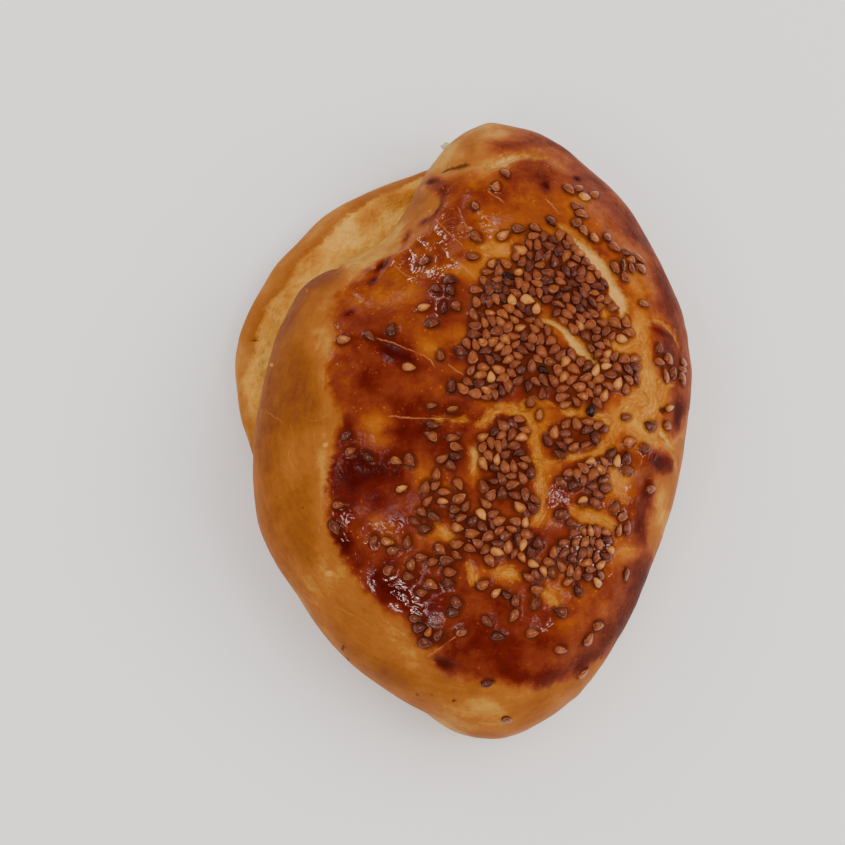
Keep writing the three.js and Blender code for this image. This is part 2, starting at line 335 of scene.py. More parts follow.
# What lies on the crust: the egg wash, its cracks, and patches baked darker or paler
crustMarks = {
    "washEdge": [  # the egg wash's edge in plan, past the rim on the sides where it runs over
        (1, 50.6), (-4, 50.6), (-7.6, 50.8), (-8.2, 48.6), (-6.6, 45.8), (-5, 43.6), (-6, 41.8),
        (-8.4, 40.4), (-11, 38.4), (-13.2, 36), (-15, 33.4), (-17.4, 31.6), (-21, 28.4), (-22.4, 26),
        (-24, 25.4), (-27.2, 22.3), (-27.4, 19), (-26.8, 14), (-27.6, 8), (-28, 3), (-27.2, -1.2),
        (-25.3, -4.5), (-26, -8), (-27.2, -12), (-28.2, -17), (-28.4, -24), (-27.4, -28), (-25.6, -32),
        (-22.6, -35.5), (-20, -39.5), (-17, -42.7), (-13, -45.2), (-11, -47.5), (-9.4, -49.6), (-6, -50),
        (-3.6, -50.6), (-7, -52), (-6, -54.2), (-2.5, -55.8), (1.8, -57.2), (5.5, -57.3), (9, -57.8),
        (12.5, -57.9), (15.4, -58), (18.4, -56.6), (21.6, -56), (26.2, -53.6), (30.2, -49.8), (33.8, -45.2),
        (36.8, -41), (39.4, -37.6), (40.6, -34.4), (38.6, -31.5), (37.4, -28), (38.4, -24), (39, -20),
        (38.4, -16.5), (40.6, -14.4), (43.4, -12.8), (43.4, -10.4), (41.6, -8), (44.4, -5), (46.4, -1),
        (49, 2), (54, 6), (58, 25), (48, 50), (32, 68), (16, 70), (11, 64), (8, 60), (7.4, 56), (5, 52),
    ],
    "amberRagged": 1.3,
    "lineSpread": 0.7,
    "bare": {  # the unwashed crust's patches fade down the sides, and its rim and foot are paler
        "most": (-0.75, 0.8), "lowShare": 0.35, "rise": (10, 27),
        "rim": 0.3, "rimRun": (-9, 1), "rimRise": (22, 32), "foot": 0.25, "footRise": (3, 11),
    },
    "lip": {
        "start": (0.1, 0.8), "crumbRun": (-1.4, 1.6), "left": (152, 166),
        "brown": 0.6, "brownRun": (-3.4, -0.8), "leftPaler": 0.8,
        # the crumb is painted paler to the left and towards the fold, partly painted light against the flap's
        # shade
        "crumb": 0.2, "leftDarker": 0.3, "darker": 0.5, "darkerRun": (1.5, 6),
    },
    "washFoot": [  # degrees, and how low the wash runs there
        (0, 15), (20, 13), (60, 12), (90, 14), (180, 0), (300, 10), (340, 14),
    ],
    "wash": {
        "reach": 9.0, "footSlope": 0.8,
        "turn": 6,         # how widely its edge turns where it meets its foot
        "tip": (51, 54),   # over the tip it thins out instead of ending at an edge
        "tipEdge": 0.14, "tipRagged": 0.4, "tipFoot": 0.5,
    },
    "creamCracks": [  # torn open to the pale dough: x, y, half width
        [(22.5, 34.6, 0.2), (24.4, 32.6, 0.9), (26.5, 30.4, 1.3), (29, 27.8, 1.2), (30.4, 25.2, 0.9),
         (31.4, 22.6, 1.2), (32.3, 20.4, 0.9), (32.5, 18.2, 0.2)],
        [(15.6, 15.8, 0.15), (18, 14.6, 0.45), (20.2, 13.2, 0.6), (21.4, 11.3, 1), (23, 9.4, 1),
         (25, 8, 0.7), (27, 6.6, 0.2)],
        [(0.9, -11.6, 0.2), (1.1, -14, 0.6), (0.6, -16.6, 0.2)],
        [(40.6, -5.2, 0.2), (42.2, -7.2, 0.7), (43.2, -8.8, 0.2)],
        [(4.6, 51.4, 0.1), (6.6, 52.4, 0.5), (9.2, 53.7, 0.9), (11.6, 54.7, 0.4), (14.6, 55.3, 0.3),
         (17.6, 55, 0.1)],
    ],
    "amberCracks": [  # thinly covered and orange
        [(12, 21.6, 0.2), (14.2, 19.4, 0.4), (15.8, 17, 0.3)],
        [(19, 37.4, 0.5), (21.4, 36, 0.9), (23, 34, 0.5)],
        [(28, 20.6, 0.3), (28.4, 18, 0.6), (29.6, 15.2, 0.4)],
        [(35.4, 19.4, 0.5), (36.2, 15, 1.2), (36.4, 10, 1.3), (37.6, 5, 2.2), (38.2, 0.5, 2.8),
         (36.4, -3.5, 1.2)],
        [(37.6, 17.6, 0.6), (40.4, 18.6, 0.4), (43.4, 16.8, 0.4), (45.4, 13.4, 0.3)],
        [(40, 2, 1.2), (41.6, 4.4, 0.9), (43.2, 5, 0.2)],
        [(34, -6.4, 0.8), (38, -8, 0.6), (41, -7.2, 1), (43, -8.6, 0.6), (45, -12, 0.4)],
        [(29.4, 9.8, 0.5), (31.2, 11.2, 1.2), (34, 11.8, 1), (36, 12.6, 1)],
        [(3, 31.6, 0.3), (6, 30.5, 0.7), (8.6, 29.6, 0.5), (11.4, 26.4, 0.2)],
        [(1.6, -6.6, 0.4), (4.6, -4.6, 1), (7.4, -3.2, 1.2), (10.6, -3.8, 1), (12.8, -6, 1.2),
         (13.4, -9, 1.1), (14, -12.6, 1.2), (14.6, -17, 1.1), (14.8, -21.4, 1), (14.4, -25, 1.3),
         (12.4, -27, 0.7)],
        [(10.6, -3.2, 0.8), (14, -1.2, 0.7), (17.6, -2.4, 0.6), (21, -4.2, 0.5), (25, -4.2, 0.5),
         (28.6, -4.6, 1.2)],
        [(14, -13.8, 0.8), (17, -14, 0.7), (20, -12.8, 0.6), (23.4, -12.4, 0.6), (26.6, -11, 0.9),
         (29, -8, 1.3), (31, -4, 1.6), (33.6, -0.8, 2), (37, 0.6, 2.2)],
        [(29.4, -14.4, 1), (29.8, -17.6, 1.6), (31.6, -20.4, 0.8)],
        [(20.4, -23, 0.6), (23.6, -24, 1.4), (27, -25, 1.3), (29.4, -26.4, 0.5)],
        [(5.4, -36.8, 0.8), (8.4, -36.2, 1.3), (10.6, -37.6, 0.5)],
        [(14.2, -39.4, 0.4), (16.4, -40.6, 1.2), (17.6, -42, 0.5)],
        [(28.6, -32.4, 0.3), (31, -30.6, 0.6), (34, -30, 0.4)], [(0.2, -35.2, 0.6), (0.8, -37.6, 1)],
        [(-6.8, -5.2, 0.2), (-3.6, -5.4, 0.5), (-0.4, -5.8, 0.4)],
        [(-6.4, -26.4, 0.6), (-5, -28.6, 1.2), (-2.8, -30, 0.5)],
        [(4, 50.8, 0.4), (6.4, 52.2, 1.1), (9, 53.6, 1.4), (12, 55, 0.9), (15, 55.4, 0.5),
         (18.6, 54.8, 0.2)],
        [(11, 66.6, 0.2), (14, 66.4, 0.6), (17.6, 65.8, 0.5), (21.6, 64.4, 0.1)],
    ],
    "amberHem": 0.5,       # how far the orange reaches round a cream crack
    "fineLines": [  # thin light stretch lines in the wash
        [(-6, 38.6), (-4.4, 36.2), (-2.6, 34), (-0.8, 31.8)], [(-1.5, 40.6), (-0.6, 37.6), (0.4, 35.4)],
        [(-4.8, 31.6), (-3.4, 29.4), (-1.6, 27.8), (0.6, 25.6), (3, 23)],
        [(-14.4, 28.8), (-13, 27), (-11, 25.8)],
        [(-18, 11.9), (-15.5, 11.1), (-13, 9.9), (-10.6, 8.8), (-8.4, 7.7), (-7.2, 6.2)],
        [(-3.6, 5.6), (-0.8, 3.3)], [(-15.4, -4.6), (-11, -5), (-6.6, -5.2)],
        [(-2.4, -48.4), (-4.6, -50), (-7.4, -51.8)], [(5, 44.6), (7.4, 42.6)], [(17, 43), (19, 40.6)],
        [(3.6, 38.6), (6, 35.8)],
    ],
    "veins": [  # thin torn lines in the bare crust
        [(-43.2, 1.5), (-42.8, 0), (-41, -1.2), (-39.6, -2.6), (-38.6, -3.4), (-37.8, -4.2)],
        [(-36, -5.6), (-35.4, -7.6), (-35.6, -9.4), (-36.4, -11), (-35.9, -12.8), (-34, -16)],
        [(-31.2, -8), (-30.8, -11), (-29.8, -13.4), (-29.2, -16), (-29.4, -19), (-29.8, -22),
         (-29.5, -24.4), (-30, -26.6)],
        [(-28.4, -3.6), (-29.8, -4.4), (-31.4, -4.8), (-33.4, -4)],
        [(-27, -5.4), (-27.6, -7.6), (-28.6, -9.6)], [(-29.4, 3.4), (-29.7, 0), (-29.2, -2)],
        [(-26, -42), (-22.6, -44), (-20, -45.6)], [(-18, -43.4), (-15.4, -46), (-12, -48.6)],
    ],
    # how dark the wash is baked: broad shading over the bun, then patches as x, y, half length,
    # half width, turn and strength
    "broad": {
        "lower": 0.63, "upper": 0.2, "rise": (12, 34),
        "side": -0.3, "sideRise": (14, 34),
        "edging": 0.6,
    },
    "dark": [
        (-15, 8.6, 4.6, 1.9, -32, 1), (-12, -8, 3.8, 3.2, 10, 0.6), (-24.5, -6.5, 1.6, 3, 20, 0.5),
        (-23, -14.6, 5, 4.4, 20, 0.7), (-17, -16, 4, 3, 0, 0.45), (-25, -22, 4, 4, 0, 0.35),
        (-18.5, -21, 4, 2.4, 0, 0.2), (-25, -30, 2, 4.4, 30, 0.5), (-19.4, -35.4, 5.5, 2, -42, 0.4),
        (-12.5, -40.5, 6.5, 2.8, -30, 0.5), (-8, -38, 5, 3, 0, 0.3), (-9, -45.5, 3.5, 2.2, -30, 0.35),
        (-5.5, -53.2, 3.6, 1.1, -18, 0.9), (4, -50, 9, 4, 0, 0.4), (10, -56, 6, 1.6, 0, 0.5),
        (17, -55, 3, 1.4, 20, 0.4), (-26.4, -26, 1.6, 5, 5, 0.3), (25, -52.4, 6, 2, 34, 0.7),
        (32, -44, 7, 3, 52, 0.9), (36.4, -34, 3, 6, -24, 0.9), (35.6, -24, 1.6, 5, -6, 0.8),
        (37.4, -17.6, 1.4, 2.4, -10, 1.1), (40, -11.6, 3.2, 2.2, -6, 1.3), (37.5, -5, 1.1, 1.3, 20, 1.3),
        (44.6, -0.6, 1.5, 4.2, 4, 1.5), (42.4, 11, 3.4, 4.6, 4, 1), (41.6, 15.8, 2.4, 0.9, -10, 0.8),
        (38.9, 10.6, 0.8, 3.6, 0, 0.6), (43, 26, 3.2, 9, 12, 1.1), (36, 41, 4.6, 9, 32, 1.1),
        (27.6, 51.4, 6, 4.4, -44, 0.8), (15.4, 49.4, 5.6, 3.2, 0, 0.5), (21, 60, 8.5, 2.6, -10, 0.85),
        (20, 68, 9, 2.2, -26, 0.8), (9, 57.6, 5, 1.4, 16, 0.6), (-6, 41.8, 0.7, 2.4, -25, 1.5),
        (-8.6, 39.4, 0.7, 1.4, -45, 1.2), (-12.6, 36.2, 0.7, 1.6, -30, 1.2),
        (-17.4, 30, 0.8, 2.2, -42, 1.4), (-19.4, 26, 1.4, 0.7, 50, 1.4), (-24.3, 18.2, 1.2, 0.7, 30, 1.1),
        (-6.4, 49.6, 1.6, 0.9, -40, 1.1), (-5, 46.4, 1.2, 2, -10, 0.6), (-6, 33.6, 4, 3, 0, 0.5),
        (-4.6, 21.4, 3.6, 3.6, 0, 0.4), (16.9, 47, 0.8, 1.1, 0, 1.6), (24, 50.4, 1, 0.8, 0, 1.3),
        (2, 1, 4, 3, 0, 0.35), (8, -14, 4, 8, 0, 0.3), (-4, -11.6, 4, 3, 0, 0.35),
        (-3.6, -40, 4, 2.6, 0, 0.3), (-18, 3, 6, 4, 0, 0.25), (1, 40, 6, 5, 0, 0.3),
        (-14, -24.4, 8, 2.4, -20, 0.35), (31, -12.2, 3, 1.6, 0, 0.6), (22, -17, 3.4, 4.6, 0, 0.3),
        (9, -22, 4, 3, 0, 0.3), (28, 33, 3, 5, 30, 0.4),
    ],
    "pale": [
        (-18.7, -6.4, 3.2, 3.4, 0, 1), (-18.2, -10, 2.2, 1.4, 0, 0.5), (-7.4, 9.4, 3.4, 1.8, -20, 0.7),
        (-2.4, 12.6, 2.6, 2.6, 0, 0.6), (-2.4, 5, 2, 1.6, 0, 0.6), (-1, 26.6, 4, 2, -5, 0.8),
        (5.6, 31, 3.6, 2.4, -10, 0.7), (6, 36, 3, 3, 0, 0.3), (8.4, 53.4, 5, 1.6, 24, 0.7),
        (22, 34.6, 3, 2, -20, 0.4), (-9.6, -17, 2.4, 4, 0, 0.5), (-5, -28.2, 3, 2, 0, 0.7),
        (-17.4, -26.4, 3.4, 2, -20, 0.5), (2.6, -36.4, 3.6, 1.8, 0, 0.8), (8, -36.6, 2.6, 1.6, -10, 0.7),
        (24, -41.5, 4, 3, 40, 0.5), (19, -46, 4, 2, 20, 0.4), (30.4, -17, 2.6, 3.4, 0, 1.1),
        (25.6, -24.6, 5, 1.8, 0, 1), (33, -31, 4, 1.2, 20, 0.8), (37.4, 4, 3.2, 9, 4, 1.3),
        (34, -4.6, 5, 3.2, -10, 1.1), (31.6, 11.4, 3, 1.6, 0, 1.1), (41, -7.4, 3.4, 1.4, 0, 0.9),
        (36, 16, 1.6, 4, 0, 1), (39.6, 19, 3, 1.2, 0, 0.6), (46, -6, 1.4, 5, 0, 0.9),
        (14.6, -14, 1.8, 12, 2, 0.7), (8, -2.8, 8, 1.8, -8, 0.7), (20, -3.6, 8, 1.4, 0, 0.6),
        (24, -12, 8, 1.4, 20, 0.7), (1, -14.6, 1.4, 3.6, 0, 0.8), (16, -40.4, 3, 2, 0, 0.6),
        (16, -34.6, 4, 1.6, -20, 0.4), (-16, 22, 5, 3.6, 0, 0.4), (-22, 21, 4, 3, 0, 0.25),
        (-10.4, 36.8, 4, 1.8, 45, 0.5), (-9.6, 14, 3, 3, 0, 0.3), (20, 13, 2, 4, 45, 0.6),
        (28.6, 16, 1.6, 5, 10, 0.6), (-12, -25, 2.4, 2.4, 0, 0.4), (23, 43.6, 2.6, 5, 0, 0.3),
        (34.6, 29, 2, 6, 12, 0.4), (-3, 57, 3, 5, 0, 0.6), (7, 61.4, 4, 1.6, 10, 0.7),
        (5, 51, 3, 2, 20, 0.4),
    ],
    "bareBrown": [  # brown and pale stretches of the unwashed crust
        (-33, 29, 8, 5, 45, 0.9), (-28, 31.6, 2.2, 2.2, 0, 0.4), (-39, 20, 14, 4, 78, 0.5),
        (-36, 4, 9, 4.6, 88, 0.6), (-41, -8, 12, 3, 92, 0.4), (-30, -1, 3, 5, 0, 0.2),
        (-40, -26, 12, 3, 112, 0.1), (-24, -48, 16, 3, -45, 0.35), (-20, 30, 3, 2, 30, 0.2),
        (-34, -24, 4, 7, 20, 0.3), (-9, 48, 1.6, 5, -30, 0.3), (-14, 42, 1.6, 4, -50, 0.3),
        (14, -62, 8, 3, 20, 0.3), (-14, -55, 8, 2.5, -30, 0.3),
    ],
    "barePale": [
        (-30.6, 14, 3, 9, 6, 0.5), (-28.6, 12, 1.6, 6, 4, 0.4), (-29.4, -16, 1.6, 10, 3, 0.6),
        (-36, -14, 3, 6, 10, 0.35), (-28, -34, 3, 8, 28, 0.3), (-15, -49, 9, 3, -38, 0.3),
        (3, -64.6, 7, 3.6, 0, 1.2), (-4, -60, 8, 3, -15, 0.3), (-20, 33, 5, 4, 60, 0.75),
        (-16, 40, 4, 4, 60, 0.4), (-6, 56, 5, 6, -15, 0.5), (4, 65, 7, 3.4, 10, 0.7),
        (41.4, -22, 2, 10, 12, 0.6), (-28.6, -2, 1.4, 4, 0, 0.5), (37, -36, 3, 4, 30, 0.3),
        (-18, 36, 5, 2.6, 50, 1), (-15, 41, 4, 2.4, 60, 0.8), (-22.6, 31, 3, 2.4, 45, 0.9),
        (-31, -43, 12, 4, -50, 0.5), (-3, 57, 3, 5, 0, 0.5), (7, 61.4, 4, 1.6, 10, 0.7),
        (-24.4, 22, 2, 8, 0, 0.35), (-1, -64, 7, 3, 0, 0.5),
    ],
    "scorch": [
        (-1.4, 52.2, 2.4, 0.8, 4, 1.2), (-4.4, 51.6, 1.2, 0.5, 30, 0.8), (-7.4, 49.4, 1.8, 0.8, -35, 0.9),
        (2.4, 60.6, 1.8, 1.1, 0, 0.5), (3, 69.6, 2.4, 1, 20, 0.5), (-26.5, 32, 0.7, 4, 0, 0.4),
        (27, 60.4, 0.8, 0.8, 0, 0.8), (-33.3, -22.3, 0.45, 0.3, -30, 1), (-24.9, -49.1, 0.4, 0.4, 0, 0.9),
        (-23.9, -51, 0.4, 0.4, 0, 0.9), (-9.6, -58.9, 0.7, 0.4, -20, 0.6), (-6.8, -58.7, 0.4, 0.8, 0, 0.6),
        (-2.4, -60.3, 0.5, 0.4, 0, 0.8), (8.4, -63.6, 1.6, 0.5, 0, 0.6), (40.9, -0.8, 0.9, 0.8, 0, 1),
        (-44.8, 19.2, 2.2, 0.35, -8, 0.7),
    ],
    "flecks": [  # small light blisters
        (-40.6, 9.6, 0.4, 0.9, 30, 0.8), (-41.4, 13.6, 0.35, 1.4, 10, 0.6), (-27.9, -35.4, 1, 0.6, 0, 0.9),
        (-28.9, -10, 0.7, 0.6, 0, 0.8), (-22.9, 5.8, 0.4, 0.4, 0, 0.8), (-26.4, 6.4, 0.4, 0.4, 0, 0.6),
        (-32.9, 25, 0.4, 1.2, 10, 0.6), (-32.7, 32, 0.3, 1, 10, 0.5),
    ],
    "hollows": [  # the last value is the depth
        (-15, 8.4, 4.6, 1.9, -32, 0.5), (-12, -8, 3.2, 2.8, 0, 0.5), (-18.6, -7.4, 3, 3.6, 0, -0.35),
        (-21, -16, 5, 3.6, 0, 0.4), (-6.9, 41.6, 1, 2.6, -22, 0.5), (-17.4, 30, 1, 2.4, -25, 0.5),
        (-19.4, 26.4, 1.6, 0.9, 35, 0.4), (-12.6, 36, 0.8, 1.8, -10, 0.4), (16.9, 47, 0.6, 0.7, 0, 0.5),
        (24, 50.4, 0.6, 0.6, 0, 0.4), (-5.5, -53.4, 3.6, 1, -18, 0.3), (-2, 52.6, 3, 0.8, 4, 0.6),
        (-14, 31, 2.6, 1.6, 40, -0.4), (-8, 35.6, 3.4, 1.8, 30, -0.35), (-21, -28, 2.4, 1.8, 20, -0.4),
        (-13, -41.5, 5, 1.6, -30, -0.3), (36.8, -15.4, 1.6, 1.6, 0, 0.5), (30, -17, 2.6, 2.6, 0, -0.3),
        (8.4, -36.4, 2.6, 1.4, 0, 0.4), (26, 40.6, 3, 4, 0, -0.3), (-27, 33, 0.8, 4, 0, 0.45),
        (-24.6, 34, 1.6, 4, 0, -0.35), (41, -0.8, 0.8, 0.8, 0, 0.6), (43, -10.6, 1.2, 3, 0, -0.4),
        (6, 67, 3, 2, 20, -0.5), (1, 66.4, 1.2, 1.2, 0, -0.5), (24, -57, 2.4, 1.6, 0, -0.3),
        (0.6, 66.8, 0.9, 0.9, 0, -0.7), (-1.8, 64.6, 0.8, 1.2, 0, 0.7), (3.6, 68.6, 1, 1.2, 0, 0.5),
        (8, 69, 2, 0.8, 10, -0.6), (11.6, 69.4, 1, 0.8, 0, 0.5), (-44.8, 19.2, 2.6, 0.6, -8, 0.5),
        (-35.5, 27.5, 6, 4, 52, -0.9),
    ],
    "crinkles": [  # where the glaze is crinkled and sparkles
        (-12, 33.4, 8, 4, 40, 1), (-23, 21, 4, 5, 0, 0.35), (-4, 27.4, 3, 3, 0, 0.8), (4, 34, 3, 4, 0, 0.8),
        (-20.5, -28.4, 3.4, 2.6, 20, 1), (-25.4, -26, 2.4, 4, 10, 0.7), (-14, -40, 6, 2.6, -32, 1),
        (30, -17, 4, 5, 0, 0.7), (26, -32, 4, 5, 0, 0.6), (4, 46, 6, 3, 0, 0.6), (-2, 36, 5, 4, 0, 0.7),
        (18, -47, 5, 3, 0, 0.6), (29, -40, 3, 4, 0, 0.7), (38, -12, 2, 2, 0, 0.7), (2, -30, 3, 4, 0, 0.6),
        (-7.4, 18, 4, 4, 0, 0.5), (-8, -6, 3, 2.4, 0, 0.6), (22, -30, 5, 3, 0, 0.5),
        (-10, 26, 4, 2, 0, 0.6), (-14.4, -27, 2.4, 2, 0, 0.7), (8, -19, 5, 4, 0, 0.7),
        (17, -21, 4, 4, 0, 0.7), (26, -15, 4, 3, 0, 0.6), (33, -21, 3, 5, 0, 0.8), (36, -12, 3, 4, 0, 0.6),
    ],
    "lipRim": [  # degrees, and the width of the browned rim
        (95, 3), (110, 3.7), (120, 4.6), (135, 4.9), (150, 4.6), (159, 4), (165, 2), (172, 1.4), (180, 1.2),
        (300, 2),
    ],
    "gloss": (20, 31),     # heights between which the wash turns from dry to glossy
    "glossLevel": (0.66, 0.86),   # how level the crust lies there, as the upward part of its normal
    "tipGloss": {"share": 0.4, "from": 45, "full": 52},
}

# How far each thing stands out, and the size, height and seed of its layers of lumps
relief = {
    "broad": [(15, 0.45, 1), (7, 0.22, 2)],
    "washSkin": [(4.2, 0.14, 3), (2.2, 0.05, 4)],
    "crinkle": [(2.4, 0.2, 10), (1.2, 0.06, 11)],
    "bareSkin": [(5, 0.12, 5), (1.8, 0.03, 6)],
    "crumb": [(3.6, 0.28, 7), (1.5, 0.16, 8), (0.9, 0.1, 9)],
    "creamDepth": 0.55,
    "amberDepth": 0.28,
    "lineRise": 0.06,
    "fleckRise": 0.3,
    "veinDepth": 0.05,
    "washThickness": 0.1,
    "meniscus": {"rise": 0.2, "reach": 0.35},   # the wash creeps up round a seed
    "footFade": (0.2, 3.5),   # the crust flattens out down to the ground
}

# What ruffles each edge and shade, in the same layers
ruffle = {
    "washEdge": [(2.6, 0.7, 21), (1.1, 0.55, 22)],
    "washFoot": [(7, 3, 36)],
    "torn": [(2.4, 0.45, 20), (1.3, 0.35, 23), (0.7, 0.22, 24)],
    "gloss": [(9, 3, 35)],
    "tipGloss": [(5, 2, 37)],
    "bake": [(2.2, 0.22, 25), (4.6, 0.24, 26)],
    "bare": [(8, 0.22, 31), (3, 0.2, 33)],
    "lipStart": [(5, 0.2, 43)],
    "crumbEdge": [(5, 0.9, 27), (1.6, 0.5, 28)],
    "rimTone": [(6, 0.6, 29)],
    "crumbTone": [(4.5, 0.7, 30)],
    "sideways": [(7, 5, 41)],      # how far marks stray down the steep sides
    "lengthways": [(7, 5, 42)],
}


def marked(x, y, name):
    return sum(patch(x, y, spot) for spot in crustMarks[name])


# Distance inside a closed outline: above 0 inside it
def insideOutline(x, y, outline, most):
    closed = [(px, py, 0.0) for px, py in outline + outline[:1]]
    gap = gapToPaths(x, y, [closed], most=most)
    ends = smoothPath(closed, pathStep)[:, :2]
    crossings = np.zeros(len(x), int)
    for (ax, ay), (bx, by) in zip(ends[:-1], ends[1:]):
        spans = (ay > y) != (by > y)
        crossings += spans & (x < (bx - ax) * (y - ay) / (by - ay + 1e-12) + ax)
    return np.where(crossings % 2 == 1, gap, -gap)


def normalsOf(points, quads):
    a, b, c, d = (points[quads[:, i]] for i in range(4))
    faceNormal = np.cross(c - a, d - b)
    total = np.zeros_like(points)
    for i in range(4):
        for axis in range(3):
            total[:, axis] += np.bincount(quads[:, i], faceNormal[:, axis], len(points))
    return total / np.maximum(np.linalg.norm(total, axis=1), 1e-9)[:, None]


# The plan place of each point, led astray down the steep sides so that no mark runs straight down them
def wander(points):
    x, y, z = points.T
    steep = 1 - ramp(z, 14, 30)
    return (x + steep * layeredLumps(points, ruffle["sideways"]),
            y + steep * layeredLumps(points, ruffle["lengthways"]))


# How brown the unwashed crust is: -1 pale, 1 brown
def bareShades(points, fields):
    x, y = wander(points)
    z = points[:, 2]
    tone = marked(x, y, "bareBrown") - marked(x, y, "barePale")
    bare = crustMarks["bare"]
    tone = np.clip(tone, *bare["most"]) * mix(bare["lowShare"], 1, ramp(z, *bare["rise"]))
    # the rim of the bare crust is painted paler: painted light that offsets the shade on its steep side
    rimPaling = ramp(fields["along"] - fields["domeLength"], *bare["rimRun"]) * (1 - ramp(z, *bare["rimRise"]))
    footward = 1 - ramp(z, *bare["footRise"])
    return tone - bare["rim"] * rimPaling + layeredLumps(points, ruffle["bare"]) - bare["foot"] * footward


# How deep into the egg wash each point lies: below 0 outside it
def washDepth(points, fields):
    wash = crustMarks["wash"]
    tip = ramp(points[:, 1], *wash["tip"])
    planGap = insideOutline(*wander(points), crustMarks["washEdge"], wash["reach"])
    planGap = planGap * mix(1, wash["tipEdge"], tip)
    ragged = layeredLumps(points, ruffle["washEdge"]) * mix(1, wash["tipRagged"], tip)
    aboveFoot = points[:, 2] - around(crustMarks["washFoot"], fields["degrees"])
    footGap = wash["footSlope"] * aboveFoot + layeredLumps(points, ruffle["washFoot"])
    footGap = footGap * mix(1, wash["tipFoot"], tip)
    turn = wash["turn"]
    depth = turn - np.hypot(np.maximum(turn - planGap, 0), np.maximum(turn - footGap, 0)) + ragged
    shut = (fields["stretch"] == 2) & (fields["sizes"]["parted"] < 0.5)
    return np.where((fields["stretch"] <= 1) | shut, depth, -wash["reach"])


# How dark the wash is baked
def bakeShades(points, wash):
    x, y, z = points.T
    broad = crustMarks["broad"]
    bake = mix(broad["lower"], broad["upper"], ramp(y, *broad["rise"]))
    bake = bake + broad["side"] * ramp(x, *broad["sideRise"])
    bake = bake + marked(x, y, "dark") - marked(x, y, "pale")
    edging = 1 - ramp(wash, -1.0, 1.4)
    return bake + layeredLumps(points, ruffle["bake"]) - broad["edging"] * edging


# Every field that shapes or colours the crust, worked out at the bun's vertices
def crustFields(points, fields):
    x, y, z = points.T
    s, stretch, degrees = fields["sizes"], fields["stretch"], fields["degrees"]
    upper = stretch <= 1
    made = {"along": fields["along"], "wash": washDepth(points, fields)}
    heading = np.radians(degrees)   # the way round as a place on a circle of 50 mm, so marks have no seam
    made["aroundX"], made["aroundY"] = 50 * np.cos(heading), 50 * np.sin(heading)

    # cracks and lines
    torn = layeredLumps(points, ruffle["torn"])
    cream = gapToPaths(x, y, crustMarks["creamCracks"])
    amber = np.minimum(gapToPaths(x, y, crustMarks["amberCracks"]), cream - crustMarks["amberHem"])
    made["cream"] = np.where(upper, cream + torn, farOff)
    made["amber"] = np.where(upper, amber + crustMarks["amberRagged"] * torn, farOff)
    cracks = crustMarks["amberCracks"] + crustMarks["creamCracks"]
    made["crackSide"], made["crackRun"] = sideOfLines(x, y, cracks, 5.0)[1:]
    for name, lines in (("line", "fineLines"), ("vein", "veins")):
        gap, made[name + "Side"] = sideOfLines(x, y, crustMarks[lines])[:2]
        made[name] = upper * np.exp(-(gap / crustMarks["lineSpread"]) ** 2)

    # patches and shades
    made["scorch"] = (stretch <= 2) * marked(x, y, "scorch")
    made["fleck"] = upper * marked(x, y, "flecks")
    made["crinkle"] = upper * np.minimum(marked(x, y, "crinkles"), 1)
    tip = crustMarks["tipGloss"]
    shine = ramp(z + layeredLumps(points, ruffle["gloss"]), *crustMarks["gloss"])
    overTip = ramp(y + layeredLumps(points, ruffle["tipGloss"]), tip["from"], tip["full"])
    made["shine"] = shine * mix(1, tip["share"], overTip)
    made["bake"] = bakeShades(points, made["wash"])
    made["bareTone"] = bareShades(points, fields)

    # the lip: its browned rim and the bare crumb behind that
    lip = crustMarks["lip"]
    fromRim = s["lip"] - fields["radius"] - around(crustMarks["lipRim"], degrees)
    shown = s["shown"] + layeredLumps(points, ruffle["lipStart"])
    made["lipTop"] = (stretch >= 2) * ramp(shown, *lip["start"])
    inner = ramp(fromRim + layeredLumps(points, ruffle["crumbEdge"]), *lip["crumbRun"])
    made["crumb"] = (stretch == 2) * made["lipTop"] * inner
    toLeft = ramp(degrees, *lip["left"])
    browned = lip["brown"] * ramp(fromRim, *lip["brownRun"]) - lip["leftPaler"] * toLeft
    made["rimTone"] = browned + layeredLumps(points, ruffle["rimTone"])
    # paler to the left, painted light against the flap's shade there; paler towards the fold, where the crumb
    # is paler and the paleness also offsets the flap's shade
    darker = lip["leftDarker"] * toLeft + lip["darker"] * ramp(fromRim, *lip["darkerRun"])
    made["crumbTone"] = layeredLumps(points, ruffle["crumbTone"]) + lip["crumb"] - darker
    return made


# How far the crust stands out from the smooth bun at each vertex
def crustRelief(points, made, fields):
    x, y, z = points.T
    names = ("broad", "washSkin", "crinkle", "bareSkin", "crumb")
    broad, washSkin, crinkle, bareSkin, crumb = (layeredLumps(points, relief[name]) for name in names)
    washed = ramp(made["wash"], -0.2, 0.5)
    rise = broad + made["crumb"] * crumb + (1 - washed) * bareSkin
    rise = rise + washed * (washSkin + made["crinkle"] * crinkle + relief["washThickness"])
    rise = rise + relief["fleckRise"] * made["fleck"] - relief["veinDepth"] * made["vein"]
    rise = rise + relief["lineRise"] * made["line"]
    rise = rise - relief["creamDepth"] * (1 - ramp(made["cream"], -0.7, 0.35))
    rise = rise - relief["amberDepth"] * (1 - ramp(made["amber"], -0.9, 0.5))
    rise = rise - marked(x, y, "hollows") * (fields["stretch"] <= 2)
    return rise * ramp(z, *relief["footFade"])
